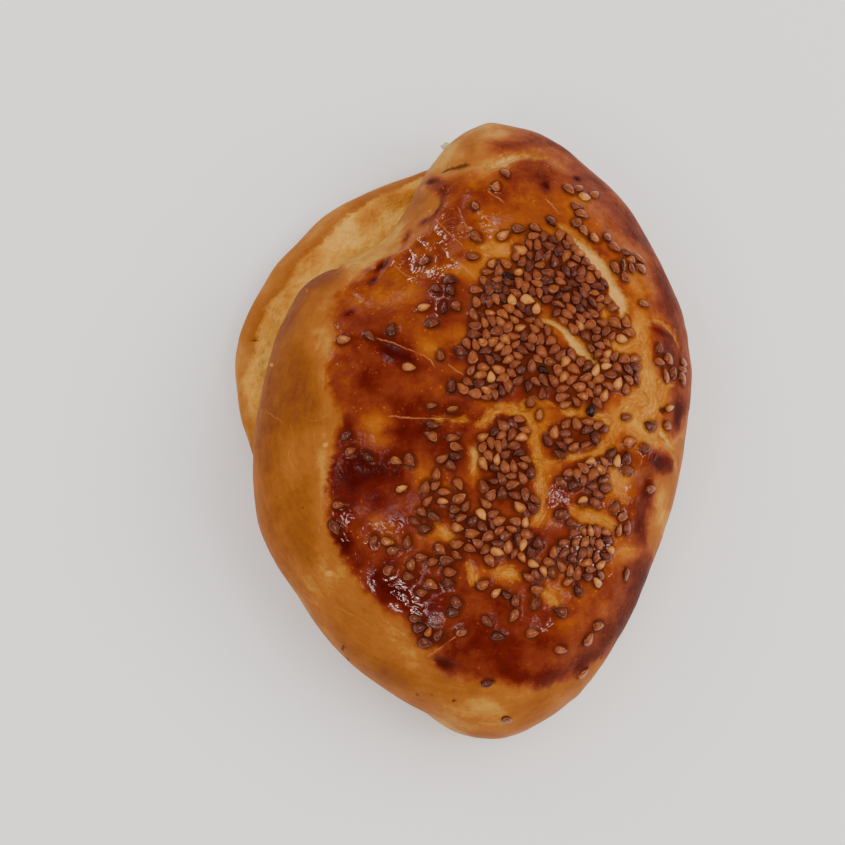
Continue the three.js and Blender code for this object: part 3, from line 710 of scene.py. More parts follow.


# Sesame seeds: their sizes, the single ones listed one by one, and the beds they fill
sesame = {
    "length": (2.6, 3.45),
    "widthShare": (0.56, 0.74),
    "thickness": (1.15, 1.6),
    "sunk": 0.38,
    "segments": 16,
    "topRings": [0.35, 0.6, 0.75, 0.86, 0.95, 1.0],
    "underRings": [0.93, 0.7],
    "tints": {"brown": 0.0, "red": -0.45, "dark": -1.0, "pale": 0.6, "golden": 1.0, "burnt": -2.0},
    "single": [  # x, y, turn and kind
        (-25.3, 12, 10, "pale"), (-20, 12.5, -45, "red"), (-15.5, 13.7, 75, "dark"),
        (-12, 5.7, -10, "pale"), (-8.6, 29.4, 0, "brown"), (1.2, 29.3, -10, "brown"),
        (1.9, 33.8, -50, "red"), (1.6, 41.2, 100, "brown"), (-3.6, 24.3, -20, "dark"),
        (-6.3, 22.6, -30, "dark"), (-3.4, 21.8, -60, "dark"), (-8.9, 18.7, 15, "golden"),
        (-4.7, 18.2, 70, "dark"), (-2.4, 18.3, -60, "red"), (-7.3, 14.9, 0, "dark"), (-5.7, 8, 95, "red"),
        (-1, 8.9, -20, "dark"), (-3.4, 1.4, 80, "dark"), (-0.4, 1.7, -30, "red"), (-7.4, -2.6, 0, "red"),
        (-3.2, -3.6, 5, "pale"), (-7.3, -6.7, -10, "dark"), (-7.3, -9.2, -60, "brown"),
        (-3.2, -9.5, 0, "red"), (-2.5, -11.4, -20, "brown"), (-2.6, -13.4, 5, "dark"),
        (-24.5, -8.3, 30, "dark"), (-23.7, -11.5, 25, "brown"), (-20, -12.8, -40, "dark"),
        (-14.5, -13.9, -20, "brown"), (-11.8, -13.9, -60, "red"), (-5.3, -13.8, 30, "brown"),
        (-6.5, -16.8, 80, "brown"), (-3.6, -15.2, -45, "red"), (-6.7, -19.2, 40, "brown"),
        (-8.7, -19.4, 75, "brown"), (-13.4, -19.6, 20, "pale"), (-5, -20.5, -5, "brown"),
        (-2.2, -19, -60, "brown"), (-26, -22.3, 0, "brown"), (-26.7, -26.7, -60, "dark"),
        (-8.2, -22.3, 50, "brown"), (-5.3, -22.4, -5, "golden"), (-2, -21.7, 30, "brown"),
        (-0.7, -23.4, 60, "red"), (-2.9, -24, 0, "dark"), (-9.4, -24.5, -40, "brown"),
        (-6.9, -25.3, -35, "red"), (-10.8, -26.1, -30, "red"), (-8.7, -27.8, 0, "dark"),
        (-1.6, -25.6, 20, "brown"), (-2.3, -27.6, -15, "pale"), (1.1, -26.6, 70, "dark"),
        (-18.9, -29.7, 70, "red"), (-16.2, -30, -15, "pale"), (-15, -31.6, 10, "red"),
        (-12.2, -30.2, 80, "red"), (-9.4, -33.2, 0, "red"), (-5.7, -32, -50, "brown"),
        (-2.4, -30.8, 5, "brown"), (0.4, -31.4, -10, "brown"), (-2.4, -33, -25, "brown"),
        (-4.6, -33.8, -5, "dark"), (-7, -34.2, 15, "brown"), (-11.4, -34.6, 75, "brown"),
        (-15.9, -35.5, 35, "red"), (-11.9, -36.9, -5, "red"), (-3.7, -36.2, -5, "brown"),
        (-7.3, -38.5, -35, "brown"), (-4, -38.4, -10, "dark"), (-9.2, -39.9, 5, "red"),
        (-2.4, -42, -35, "red"), (-3, -43.9, 0, "dark"), (-10.4, -44.8, -5, "dark"),
        (-9.4, -46.7, 5, "dark"), (-8, -47.5, 70, "pale"), (-6, -48.2, 30, "red"),
        (-1.3, -47.7, 0, "brown"), (-8.2, -49.2, 0, "dark"), (3.7, -45.7, -40, "red"),
        (5.9, -48.5, 0, "dark"), (2.7, -38.7, 25, "brown"), (5.4, -40.2, 45, "golden"),
        (12.8, -47.7, 5, "brown"), (18.8, -50.5, 0, "brown"), (24.6, -48, 55, "brown"),
        (26.6, -45.3, 10, "brown"), (4.2, -57.3, 15, "dark"), (14.3, -4.3, 80, "pale"),
        (12.5, -1.6, 70, "red"), (18.6, -18, -25, "red"), (18.4, -24.2, 35, "dark"),
        (20.8, -26.1, -15, "red"), (21.9, -28.1, 10, "red"), (28.9, -11.6, 60, "dark"),
        (30.3, -12.9, 65, "golden"), (32, -12.2, 80, "dark"), (32.4, -14.6, 10, "red"),
        (29.8, -22.2, 70, "red"), (31.5, -23.8, 10, "brown"), (30.7, -26.4, 80, "brown"),
        (32.6, -25.8, 70, "red"), (37.8, -17.4, 20, "brown"), (36.5, -9.4, 15, "red"),
        (33, -8.7, 20, "pale"), (32.4, -3.6, 15, "red"), (37.8, -4.6, 20, "dark"), (42.2, 0, 25, "golden"),
        (41.6, -3.8, -20, "brown"), (13.3, -42, 70, "red"), (13.6, -39.2, 15, "brown"),
        (7.5, 34.2, 35, "golden"), (10.6, 35.7, -10, "red"), (14, 35.8, -30, "red"),
        (17.6, 37.9, -60, "dark"), (6.3, 46.1, 80, "pale"), (8.4, 49.4, -70, "brown"),
        (22, 46.6, -40, "brown"), (23.8, 47.2, 20, "brown"), (25.2, 45.3, 0, "golden"),
        (27.6, 46.6, 40, "brown"), (23.3, 42.4, 0, "red"), (24.2, 40.4, -15, "brown"),
        (23.2, 38.3, 60, "red"), (24.3, 36.6, -60, "brown"), (26.8, 35, -5, "pale"),
        (29.6, 36, 60, "brown"), (31, 33.6, -40, "brown"), (36.6, 32.2, -40, "brown"),
        (28.4, 9.2, 40, "golden"), (31.8, 13.2, 0, "golden"), (13.6, 18, 80, "golden"),
        (22, 27.2, 80, "dark"), (8.5, 24.4, -25, "burnt"), (15.2, 4.6, -30, "burnt"),
        (24.9, -2.9, 80, "burnt"), (5.6, -31.8, -10, "golden"), (12.8, -34.6, -30, "golden"),
        (9, -6.4, -30, "dark"), (3.2, -9.4, 30, "pale"), (17.4, -8, 70, "pale"), (46.9, 34.6, 80, "red"),
        (8.4, -63.8, -10, "red"), (24, -54.3, 50, "brown"),
    ],
    "beds": [  # outline in plan, and the area each seed has
        ([(-1.6, 9), (-0.4, 4.6), (-1.6, 1), (2, -1), (5.6, -0.6), (8.4, 1.2), (11, 1.4), (15, -0.6),
          (17.6, -2), (21, -3), (25, -2.4), (28.6, -3), (28, 0.6), (31, 2.6), (33.6, -0.4), (35.6, 2),
          (35.6, 7), (34, 9.8), (30.4, 9), (29.6, 13), (33.6, 12.2), (34.6, 16), (33.4, 19), (31.4, 20),
          (30.8, 24), (28, 28.4), (24, 30.6), (22.2, 34.6), (14, 34.6), (12.4, 31.6), (9.4, 31),
          (8.6, 28.4), (3, 28.2), (3.2, 24.6), (0.4, 22), (0.8, 15.6), (1, 12)], 3.9),
        ([(30, 29), (32, 24.6), (33, 20.6), (37, 20.2), (39, 23), (38.8, 29), (36, 32.6), (31.4, 33)], 8.5),
        ([(17, -5), (24, -4.8), (30, -4.4), (30.4, -7.2), (26.6, -9.4), (22, -12), (18.6, -13),
          (15.4, -11.6), (16.2, -6.6)], 4.1),
        ([(24, -12.6), (27.4, -12.6), (28, -17), (27.8, -21.4), (24, -22.2), (20, -22.6), (19.6, -18),
          (20.4, -14.6)], 4.2),
        ([(2, -12), (4, -9), (6.4, -6.4), (9, -5), (11.6, -6), (12.2, -9), (11.2, -10.6), (13, -13),
          (13.4, -16), (12.6, -18.4), (13.6, -22.8), (11, -24), (7.6, -22.8), (4, -23), (1, -22.4),
          (0.8, -19), (3, -17)], 4.2),
        ([(0.4, -25), (4, -24.4), (9, -25.6), (14, -26.6), (15.6, -29.4), (20, -28.6), (24, -27),
          (29.6, -27), (31, -30), (29.6, -33), (33, -34.6), (32, -37), (28.4, -36.4), (27.6, -38.8),
          (23.4, -38.4), (22.6, -42), (20.4, -44), (17.4, -44.4), (18.4, -40), (15, -37.8), (10.4, -37.4),
          (11.6, -34), (7, -33.6), (3, -35.4), (0, -30)], 4.7),
        ([(6, -40.4), (9.6, -39.8), (10.8, -43), (8.6, -45.4), (6.4, -43)], 5.6),
        ([(38.4, 13), (39.4, 9), (38.8, 6.4), (42, 5.8), (46, 7), (46, 11), (44, 16.4), (40.8, 17)], 6.6),
        ([(10, 38), (14, 34.8), (19, 35), (18, 38.6), (13, 40)], 16),
    ],
    "bedTints": {"brown": 0.44, "red": 0.29, "dark": 0.14, "pale": 0.09, "golden": 0.04},   # share of each
    # the grid that holds the beds
    "sown": {"x": (-34, 52), "y": (-64, 66), "step": 0.5, "most": 9.0, "margin": 0.2},
    "creamRoom": 0.75,     # how clear the beds keep of the cracks
    "amberRoom": 0.4,
    "laps": 26,            # how often the seeds nudge each other apart,
    "spread": 0.84,        # and how far, as a share of their width
    "heldBack": 0.15,      # how much of that the single seeds give way
    "tilt": 0.14,
    "onEdge": 0.06,        # share of seeds that stand on their edge
    "edgeLean": (0.7, 1.4),
    "lapping": {"reach": 2.0, "over": 1.2, "lift": 0.42, "tip": 0.28},   # where a seed lies on others
    "seed": 77,
    "nudge": {"most": 0.6, "share": 0.25, "spin": 0.5, "margin": 0.3, "mostBack": 0.8, "backShare": 0.6},
    # nearby also sets how far the painted shade round the seeds reaches
    "nearby": {"most": 4.0, "box": 4.5, "crowding": 0.75},   # how far the wash feels a seed
    "ends": (0.84, 0.48),      # powers that make one end blunt and the other pointed
    "crown": (2.3, 0.56),
    "belly": (2.6, 0.6),
    "bead": {"height": 0.04, "at": 0.8, "width": 0.1},    # the raised rim
    "bend": 0.1,
    "slope": 0.08,
    "tintRange": 0.25,
    "shapeSeed": 5,
}


# The nearest cell of the grid that holds the beds
def bedCell(x, y, shape):
    sown = sesame["sown"]
    cells = []
    for place, start, count in ((x, sown["x"][0], shape[0]), (y, sown["y"][0], shape[1])):
        cells.append(np.clip(np.round((place - start) / sown["step"]).astype(int), 0, count - 1))
    return tuple(cells)


# The listed seeds, then seeds thrown over the beds; and how far inside the beds each cell lies
def throwSeeds(draw):
    sown = sesame["sown"]
    step = sown["step"]
    gridX, gridY = np.meshgrid(np.arange(*sown["x"], step), np.arange(*sown["y"], step), indexing="ij")
    flatX, flatY = gridX.ravel(), gridY.ravel()
    room = gapToPaths(flatX, flatY, crustMarks["creamCracks"]) - sesame["creamRoom"]
    room = np.minimum(room, gapToPaths(flatX, flatY, crustMarks["amberCracks"]) - sesame["amberRoom"])
    placed = [(x, y, turn, sesame["tints"][kind], True) for x, y, turn, kind in sesame["single"]]
    tints = [sesame["tints"][kind] for kind in sesame["bedTints"]]
    chances = list(sesame["bedTints"].values())
    bedRoom = np.full(len(flatX), -sown["most"])
    for outline, area in sesame["beds"]:
        inside = insideOutline(flatX, flatY, outline, sown["most"])
        bedRoom = np.maximum(bedRoom, inside)
        free = np.minimum(inside, room) > sown["margin"]
        spots = np.flatnonzero(free)
        x, y = np.array([seed[:2] for seed in placed]).T
        taken = free.reshape(gridX.shape)[bedCell(x, y, gridX.shape)].sum()
        for spot in draw.choice(spots, max(0, int(len(spots) * step * step / area) - taken), replace=False):
            tint = draw.choice(tints, p=chances)
            placed.append((flatX[spot], flatY[spot], draw.uniform(0, 360), tint, False))
    return placed, np.minimum(room, bedRoom).reshape(gridX.shape)


# Lays the seeds out in plan: nudges them apart and back inside their beds
def placeSeeds():
    draw = np.random.default_rng(sesame["seed"])
    placed, room = throwSeeds(draw)
    x, y, turn, tint, fixed = (np.array(column) for column in zip(*placed))
    turn = np.radians(turn)
    count = len(x)
    length = draw.uniform(*sesame["length"], count)
    width = length * draw.uniform(*sesame["widthShare"], count)
    reach = (length - width) / 2
    least = (width[:, None] + width[None, :]) / 2 * sesame["spread"]
    inward = np.stack(np.gradient(room, sesame["sown"]["step"]), axis=-1)
    ease = np.where(fixed, sesame["heldBack"], 1.0)
    nudge = sesame["nudge"]
    for lap in range(sesame["laps"]):
        way = np.stack([np.cos(turn), np.sin(turn)], axis=1) * reach[:, None]
        ends = [np.stack([x, y], axis=1) + side * way for side in (1, -1)]
        shift, spin = np.zeros((count, 2)), np.zeros(count)
        for mine, sign in zip(ends, (1, -1)):
            for theirs in ends:
                gap = mine[:, None, :] - theirs[None, :, :]
                far = np.hypot(gap[..., 0], gap[..., 1]) + 1e-6
                press = np.clip(least - far, 0, nudge["most"])
                np.fill_diagonal(press, 0)
                push = (gap / far[..., None] * press[..., None]).sum(axis=1) * nudge["share"]
                shift += push
                spin += sign * (np.cos(turn) * push[:, 1] - np.sin(turn) * push[:, 0]) * nudge["spin"]
        cell = bedCell(x, y, room.shape)
        short = np.where(fixed, 0, np.clip(nudge["margin"] - room[cell], 0, nudge["mostBack"]))
        shift += inward[cell] * short[:, None] * nudge["backShare"]
        x, y, turn = x + shift[:, 0] * ease, y + shift[:, 1] * ease, turn + spin * ease
    return {"x": x, "y": y, "turn": turn, "tint": tint, "length": length, "width": width, "draw": draw}


# Sets each seed down on the crust: its middle, and its long, side and up directions
def seatSeeds(seeds, points, faces):
    tree = BVHTree.FromPolygons(points.tolist(), faces.tolist())
    draw = seeds["draw"]
    down = Vector((0, 0, -1))
    count = len(seeds["x"])
    seeds["thickness"] = draw.uniform(*sesame["thickness"], count)
    order = draw.permutation(count)
    rank = np.empty(count)
    rank[order] = np.arange(count)
    lapping = sesame["lapping"]
    middles, frames, kept = [], [], []
    for i in range(count):
        x, y, turn = seeds["x"][i], seeds["y"][i], seeds["turn"][i]
        c, s = math.cos(turn), math.sin(turn)
        offsets = [(0, 0), (c, s), (-c, -s), (-0.7 * s, 0.7 * c), (0.7 * s, -0.7 * c)]
        hits = [tree.ray_cast(Vector((x + dx, y + dy, 80)), down)[0] for dx, dy in offsets]
        if None in hits:
            continue
        spots = np.array(hits)
        long = spots[1] - spots[2]
        up = np.cross(long, spots[3] - spots[4])
        up /= np.linalg.norm(up)
        sideways = np.cross(up, long / np.linalg.norm(long))
        lean = 0
        if draw.uniform() < sesame["onEdge"]:
            lean = draw.uniform(*sesame["edgeLean"]) * draw.choice([-1, 1])
        up = up + draw.normal(0, sesame["tilt"], 3) + sideways * lean
        lift = 0.0
        far = np.hypot(seeds["x"] - x, seeds["y"] - y)
        for other in np.flatnonzero((far < lapping["reach"]) & (rank < rank[i]) & (far > 0)):
            press = np.clip((lapping["reach"] - far[other]) / lapping["over"], 0, 1)
            lift = max(lift, lapping["lift"] * press)
            away = np.array([x - seeds["x"][other], y - seeds["y"][other], 0.0]) / far[other]
            up = up + away * lapping["tip"] * press
        up /= np.linalg.norm(up)
        long = long - up * (long @ up)
        long /= np.linalg.norm(long)
        middles.append(spots.mean(axis=0) + up * (seeds["thickness"][i] * (0.5 - sesame["sunk"]) + lift))
        frames.append(np.stack([long, np.cross(up, long), up]))
        kept.append(i)
    for name in ("x", "y", "turn", "tint", "length", "width", "thickness"):
        seeds[name] = seeds[name][kept]
    seeds["middle"], seeds["frame"] = np.array(middles), np.array(frames)


# Gap from each crust vertex to the nearest seed, and how crowded with seeds the spot is: the wash rises by
# the gap, and painted shade darkens round and between the seeds
def seedGaps(points, seeds):
    nearby = sesame["nearby"]
    gap, crowd = np.full(len(points), nearby["most"]), np.zeros(len(points))
    for i in range(len(seeds["x"])):
        away = points - seeds["middle"][i]
        near = np.flatnonzero((abs(away) < nearby["box"]).all(axis=1))
        u, v = seeds["frame"][i][:2] @ away[near].T
        halfLong, halfWide = seeds["length"][i] / 2, seeds["width"][i] / 2
        ring = np.sqrt((u / halfLong) ** 2 + (v / halfWide) ** 2) + 1e-6
        far = (ring - 1) * np.hypot(u, v) / ring
        gap[near] = np.minimum(gap[near], far)
        crowd[near] += np.exp(-(np.maximum(far, 0) / nearby["crowding"]) ** 2)
    return gap, crowd


# One seed shape: a flattened drop with a raised rim, and how near each point is to the rim
def seedShape():
    count = sesame["segments"]
    each = np.arange(count)
    turn = each * 2 * math.pi / count
    t = np.cos(turn)
    blunt, pointed = sesame["ends"]
    outline = (1 - t) ** blunt * (1 + t) ** pointed
    outline = np.sign(np.sin(turn)) * outline / outline.max()
    crown, belly, bead = sesame["crown"], sesame["belly"], sesame["bead"]
    points, rims = [(0.0, 0.0, 0.5)], [0.0]
    for ring in sesame["topRings"]:
        height = 0.5 * (1 - ring ** crown[0]) ** crown[1] if ring < 1 else 0
        height += bead["height"] * math.exp(-((ring - bead["at"]) / bead["width"]) ** 2)
        points += [(t[k] * ring, outline[k] * ring, height) for k in each]
        rims += [ring] * count
    for ring in sesame["underRings"]:
        height = -0.5 * (1 - ring ** belly[0]) ** belly[1]
        points += [(t[k] * ring, outline[k] * ring, height) for k in each]
        rims += [1.0] * count
    points.append((0, 0, -0.5))
    rims.append(1.0)
    after = [(k + 1) % count for k in each]
    faces = [(0, 1 + k, 1 + after[k]) for k in each]
    rows = len(sesame["topRings"]) + len(sesame["underRings"])
    for row in range(rows - 1):
        first, second = 1 + row * count, 1 + (row + 1) * count
        faces += [(first + k, second + k, second + after[k], first + after[k]) for k in each]
    last = 1 + (rows - 1) * count
    faces += [(last + k, len(points) - 1, last + after[k]) for k in each]
    return np.array(points), faces, np.array(rims)


def makeObject(name, points, faces, attributes, material):
    mesh = bpy.data.meshes.new(name)
    mesh.from_pydata((np.asarray(points) * mm).tolist(), [], faces)
    for key, values in attributes.items():
        layer = mesh.attributes.new(key, "FLOAT", "POINT")
        layer.data.foreach_set("value", np.asarray(values, dtype=np.float32))
    mesh.shade_smooth()
    mesh.materials.append(material)
    piece = bpy.data.objects.new(name, mesh)
    bpy.context.scene.collection.objects.link(piece)
    return piece


def makeSeeds(name, seeds, chosen, material):
    shape, shapeFaces, rims = seedShape()
    draw = np.random.default_rng(sesame["shapeSeed"])
    mostBend, mostSlope, tintRange = sesame["bend"], sesame["slope"], sesame["tintRange"]
    points, faces, tint, rim = [], [], [], []
    for i in chosen:
        size = np.array([seeds["length"][i] / 2, seeds["width"][i] / 2, seeds["thickness"][i]])
        local = shape * size
        bend, slope = draw.uniform(-mostBend, mostBend), draw.uniform(-mostSlope, mostSlope)
        local[:, 1] += bend * (local[:, 0] ** 2 - 1)
        local[:, 2] += slope * local[:, 0] - 0.05 * local[:, 0] ** 2
        local[:, 2] += 0.04 * np.sin(3 * local[:, 0] + draw.uniform(0, 6)) * np.cos(2.5 * local[:, 1])
        first = len(points) * len(shape)
        points.append(seeds["middle"][i] + local @ seeds["frame"][i])
        faces += [tuple(first + corner for corner in face) for face in shapeFaces]
        tint.append(np.full(len(shape), seeds["tint"][i] + draw.uniform(-tintRange, tintRange)))
        rim.append(rims)
    attributes = {"tint": np.concatenate(tint), "rim": np.concatenate(rim)}
    return makeObject(name, np.concatenate(points), faces, attributes, material)


# A shader socket that can stand in ordinary sums
class Wire:
    tree = None

    def __init__(self, socket):
        self.socket = socket

    # Adds a node: settings first, then values or links for its sockets
    @classmethod
    def make(cls, kind, settings=None, sockets=None, output=0):
        node = cls.tree.nodes.new("ShaderNode" + kind)
        for name, value in (settings or {}).items():
            if name == "stops":
                setStops(node.color_ramp, value)
            else:
                setattr(node, name, value)
        for name, value in (sockets or {}).items():
            target = cls.pick(node.inputs, name)
            if isinstance(value, Wire):
                cls.tree.links.new(value.socket, target)
            else:
                target.default_value = value
        return cls(cls.pick(node.outputs, output))

    @staticmethod
    def pick(sockets, name):
        live = [socket for socket in sockets if socket.enabled]
        return live[name] if isinstance(name, int) else next(s for s in live if s.name == name)

    def join(self, other, operation, swap=False):
        first, second = (other, self) if swap else (self, other)
        kind = self.socket.type
        if kind == "VALUE":
            return Wire.make("Math", {"operation": operation}, {0: first, 1: second})
        pair = (first, second)
        if kind == "VECTOR":
            first, second = (side if isinstance(side, Wire) else (side,) * 3 for side in pair)
            return Wire.make("VectorMath", {"operation": operation}, {0: first, 1: second})
        first, second = (side if isinstance(side, Wire) else (side, side, side, 1) for side in pair)
        settings = {"data_type": "RGBA", "blend_type": operation}
        return Wire.make("Mix", settings, {"Factor": 1.0, "A": first, "B": second})

    def __add__(self, other):
        return self.join(other, "ADD")

    def __radd__(self, other):
        return self.join(other, "ADD", True)

    def __sub__(self, other):
        return self.join(other, "SUBTRACT")

    def __rsub__(self, other):
        return self.join(other, "SUBTRACT", True)

    def __mul__(self, other):
        return self.join(other, "MULTIPLY")

    def __rmul__(self, other):
        return self.join(other, "MULTIPLY", True)

    def __abs__(self):
        return Wire.make("Math", {"operation": "ABSOLUTE"}, {0: self})

    # 0 below low and 1 above high, with a soft step between
    def clear(self, low, high):
        settings = {"interpolation_type": "SMOOTHSTEP"}
        return Wire.make("MapRange", settings, {"Value": self, "From Min": low, "From Max": high})


def setStops(ramp, stops):
    while len(ramp.elements) < len(stops):
        ramp.elements.new(0.5)
    for element, (position, colour) in zip(ramp.elements, stops):
        element.position = position
        element.color = colour


studioLight = 1.29  # how brightly the lamps and sky light the top of the bun


# A colour as it looks in the studio light, 0 to 255, turned into the base colour a shader takes
def tone(red, green, blue):
    def linear(value):
        value /= 255
        return value / 12.92 if value <= 0.04045 else ((value + 0.055) / 1.055) ** 2.4
    return (linear(red) / studioLight, linear(green) / studioLight, linear(blue) / studioLight, 1)


def blend(mask, first, second):
    return Wire.make("Mix", {"data_type": "RGBA"}, {"Factor": mask, "A": first, "B": second})


def field(name):
    return Wire.make("Attribute", {"attribute_name": name}, None, "Fac")


# A place measured round the bun and down its sides, so that marks can be stretched either way
def aroundPlace(aroundShare, alongShare):
    return Wire.make("CombineXYZ", None, {
        "X": field("aroundX") * aroundShare,
        "Y": field("along") * alongShare,
        "Z": field("aroundY") * aroundShare,
    })


# Noise about -1 to 1 with marks of a size in millimetres
def speckle(place, size, detail=2.0, swirl=0.0):
    sockets = {"Vector": place, "Scale": 1 / size, "Detail": detail, "Distortion": swirl}
    return (Wire.make("TexNoise", None, sockets) - 0.5) * 3.2


# Thin wandering lines where noise passes through 0
def wanderingLines(noise, width):
    return 1 - abs(noise).clear(0.0, width)


# A thin line along a pair of fields made by sideOfLines, nudged sideways by noise
def thinLine(name, nudge, halfWidth):
    away = abs(field(name + "Side") + nudge)
    return (1 - away.clear(0.0, halfWidth)) * field(name).clear(0.1, 0.6)


# Small round drops of a size in millimetres
def droplets(place, size):
    away = Wire.make("TexVoronoi", None, {"Vector": place, "Scale": 1 / size}, "Distance")
    return 1 - away.clear(0.04, 0.36)


def rampOf(value, low, high, colours):
    share = Wire.make("MapRange", None, {"Value": value, "From Min": low, "From Max": high})
    stops = [(i / (len(colours) - 1), tone(*colour)) for i, colour in enumerate(colours)]
    return Wire.make("ValToRGB", {"stops": stops}, {"Fac": share})


# Each point's place on its piece in millimetres
def piecePlace():
    return Wire.make("TexCoord", None, None, "Object") * (1 / mm)


# A bump from a height in millimetres
def bumpOf(height):
    return Wire.make("Bump", None, {"Strength": 1.0, "Distance": mm, "Height": height})


def startMaterial(name):
    material = bpy.data.materials.new(name)
    material.use_nodes = True
    Wire.tree = material.node_tree
    return material, material.node_tree.nodes["Principled BSDF"]


def feed(shader, sockets):
    for name, value in sockets.items():
        if isinstance(value, Wire):
            Wire.tree.links.new(value.socket, shader.inputs[name])
        else:
            shader.inputs[name].default_value = value


crustLook = {
    "bare": [(204, 152, 64), (168, 97, 35), (142, 78, 27), (114, 52, 25)],        # pale to brown
    "glossyWash": [(202, 136, 46), (180, 102, 26), (153, 73, 20), (124, 47, 22), (98, 22, 9), (72, 10, 5)],
    "dryWash": [(204, 146, 72), (182, 112, 50), (158, 84, 40), (132, 60, 32), (100, 40, 24), (72, 22, 14)],
    "amber": [(132, 54, 10), (166, 88, 20), (188, 116, 36), (212, 150, 66), (240, 196, 122)],
    "cream": [(198, 130, 50), (228, 174, 96)],
    "line": (206, 132, 76),
    "vein": (208, 150, 74),
    "fleck": (216, 142, 64),
    "scorch": (66, 30, 18),
    "crumb": [(248, 198, 98), (240, 174, 74), (216, 144, 56), (186, 112, 42)],
    "lipRim": [(204, 142, 68), (176, 106, 40), (150, 80, 26)],
    "shade": (84, 28, 8),
    "bareRoughness": 0.5,
    "bareSpecular": 0.03,
    "washRoughness": {"smooth": 0.11, "crinkled": 0.07},
    "washRefraction": 1.5,
    "smoothGloss": 0.3,    # how glossy the wash is between the crinkles
}


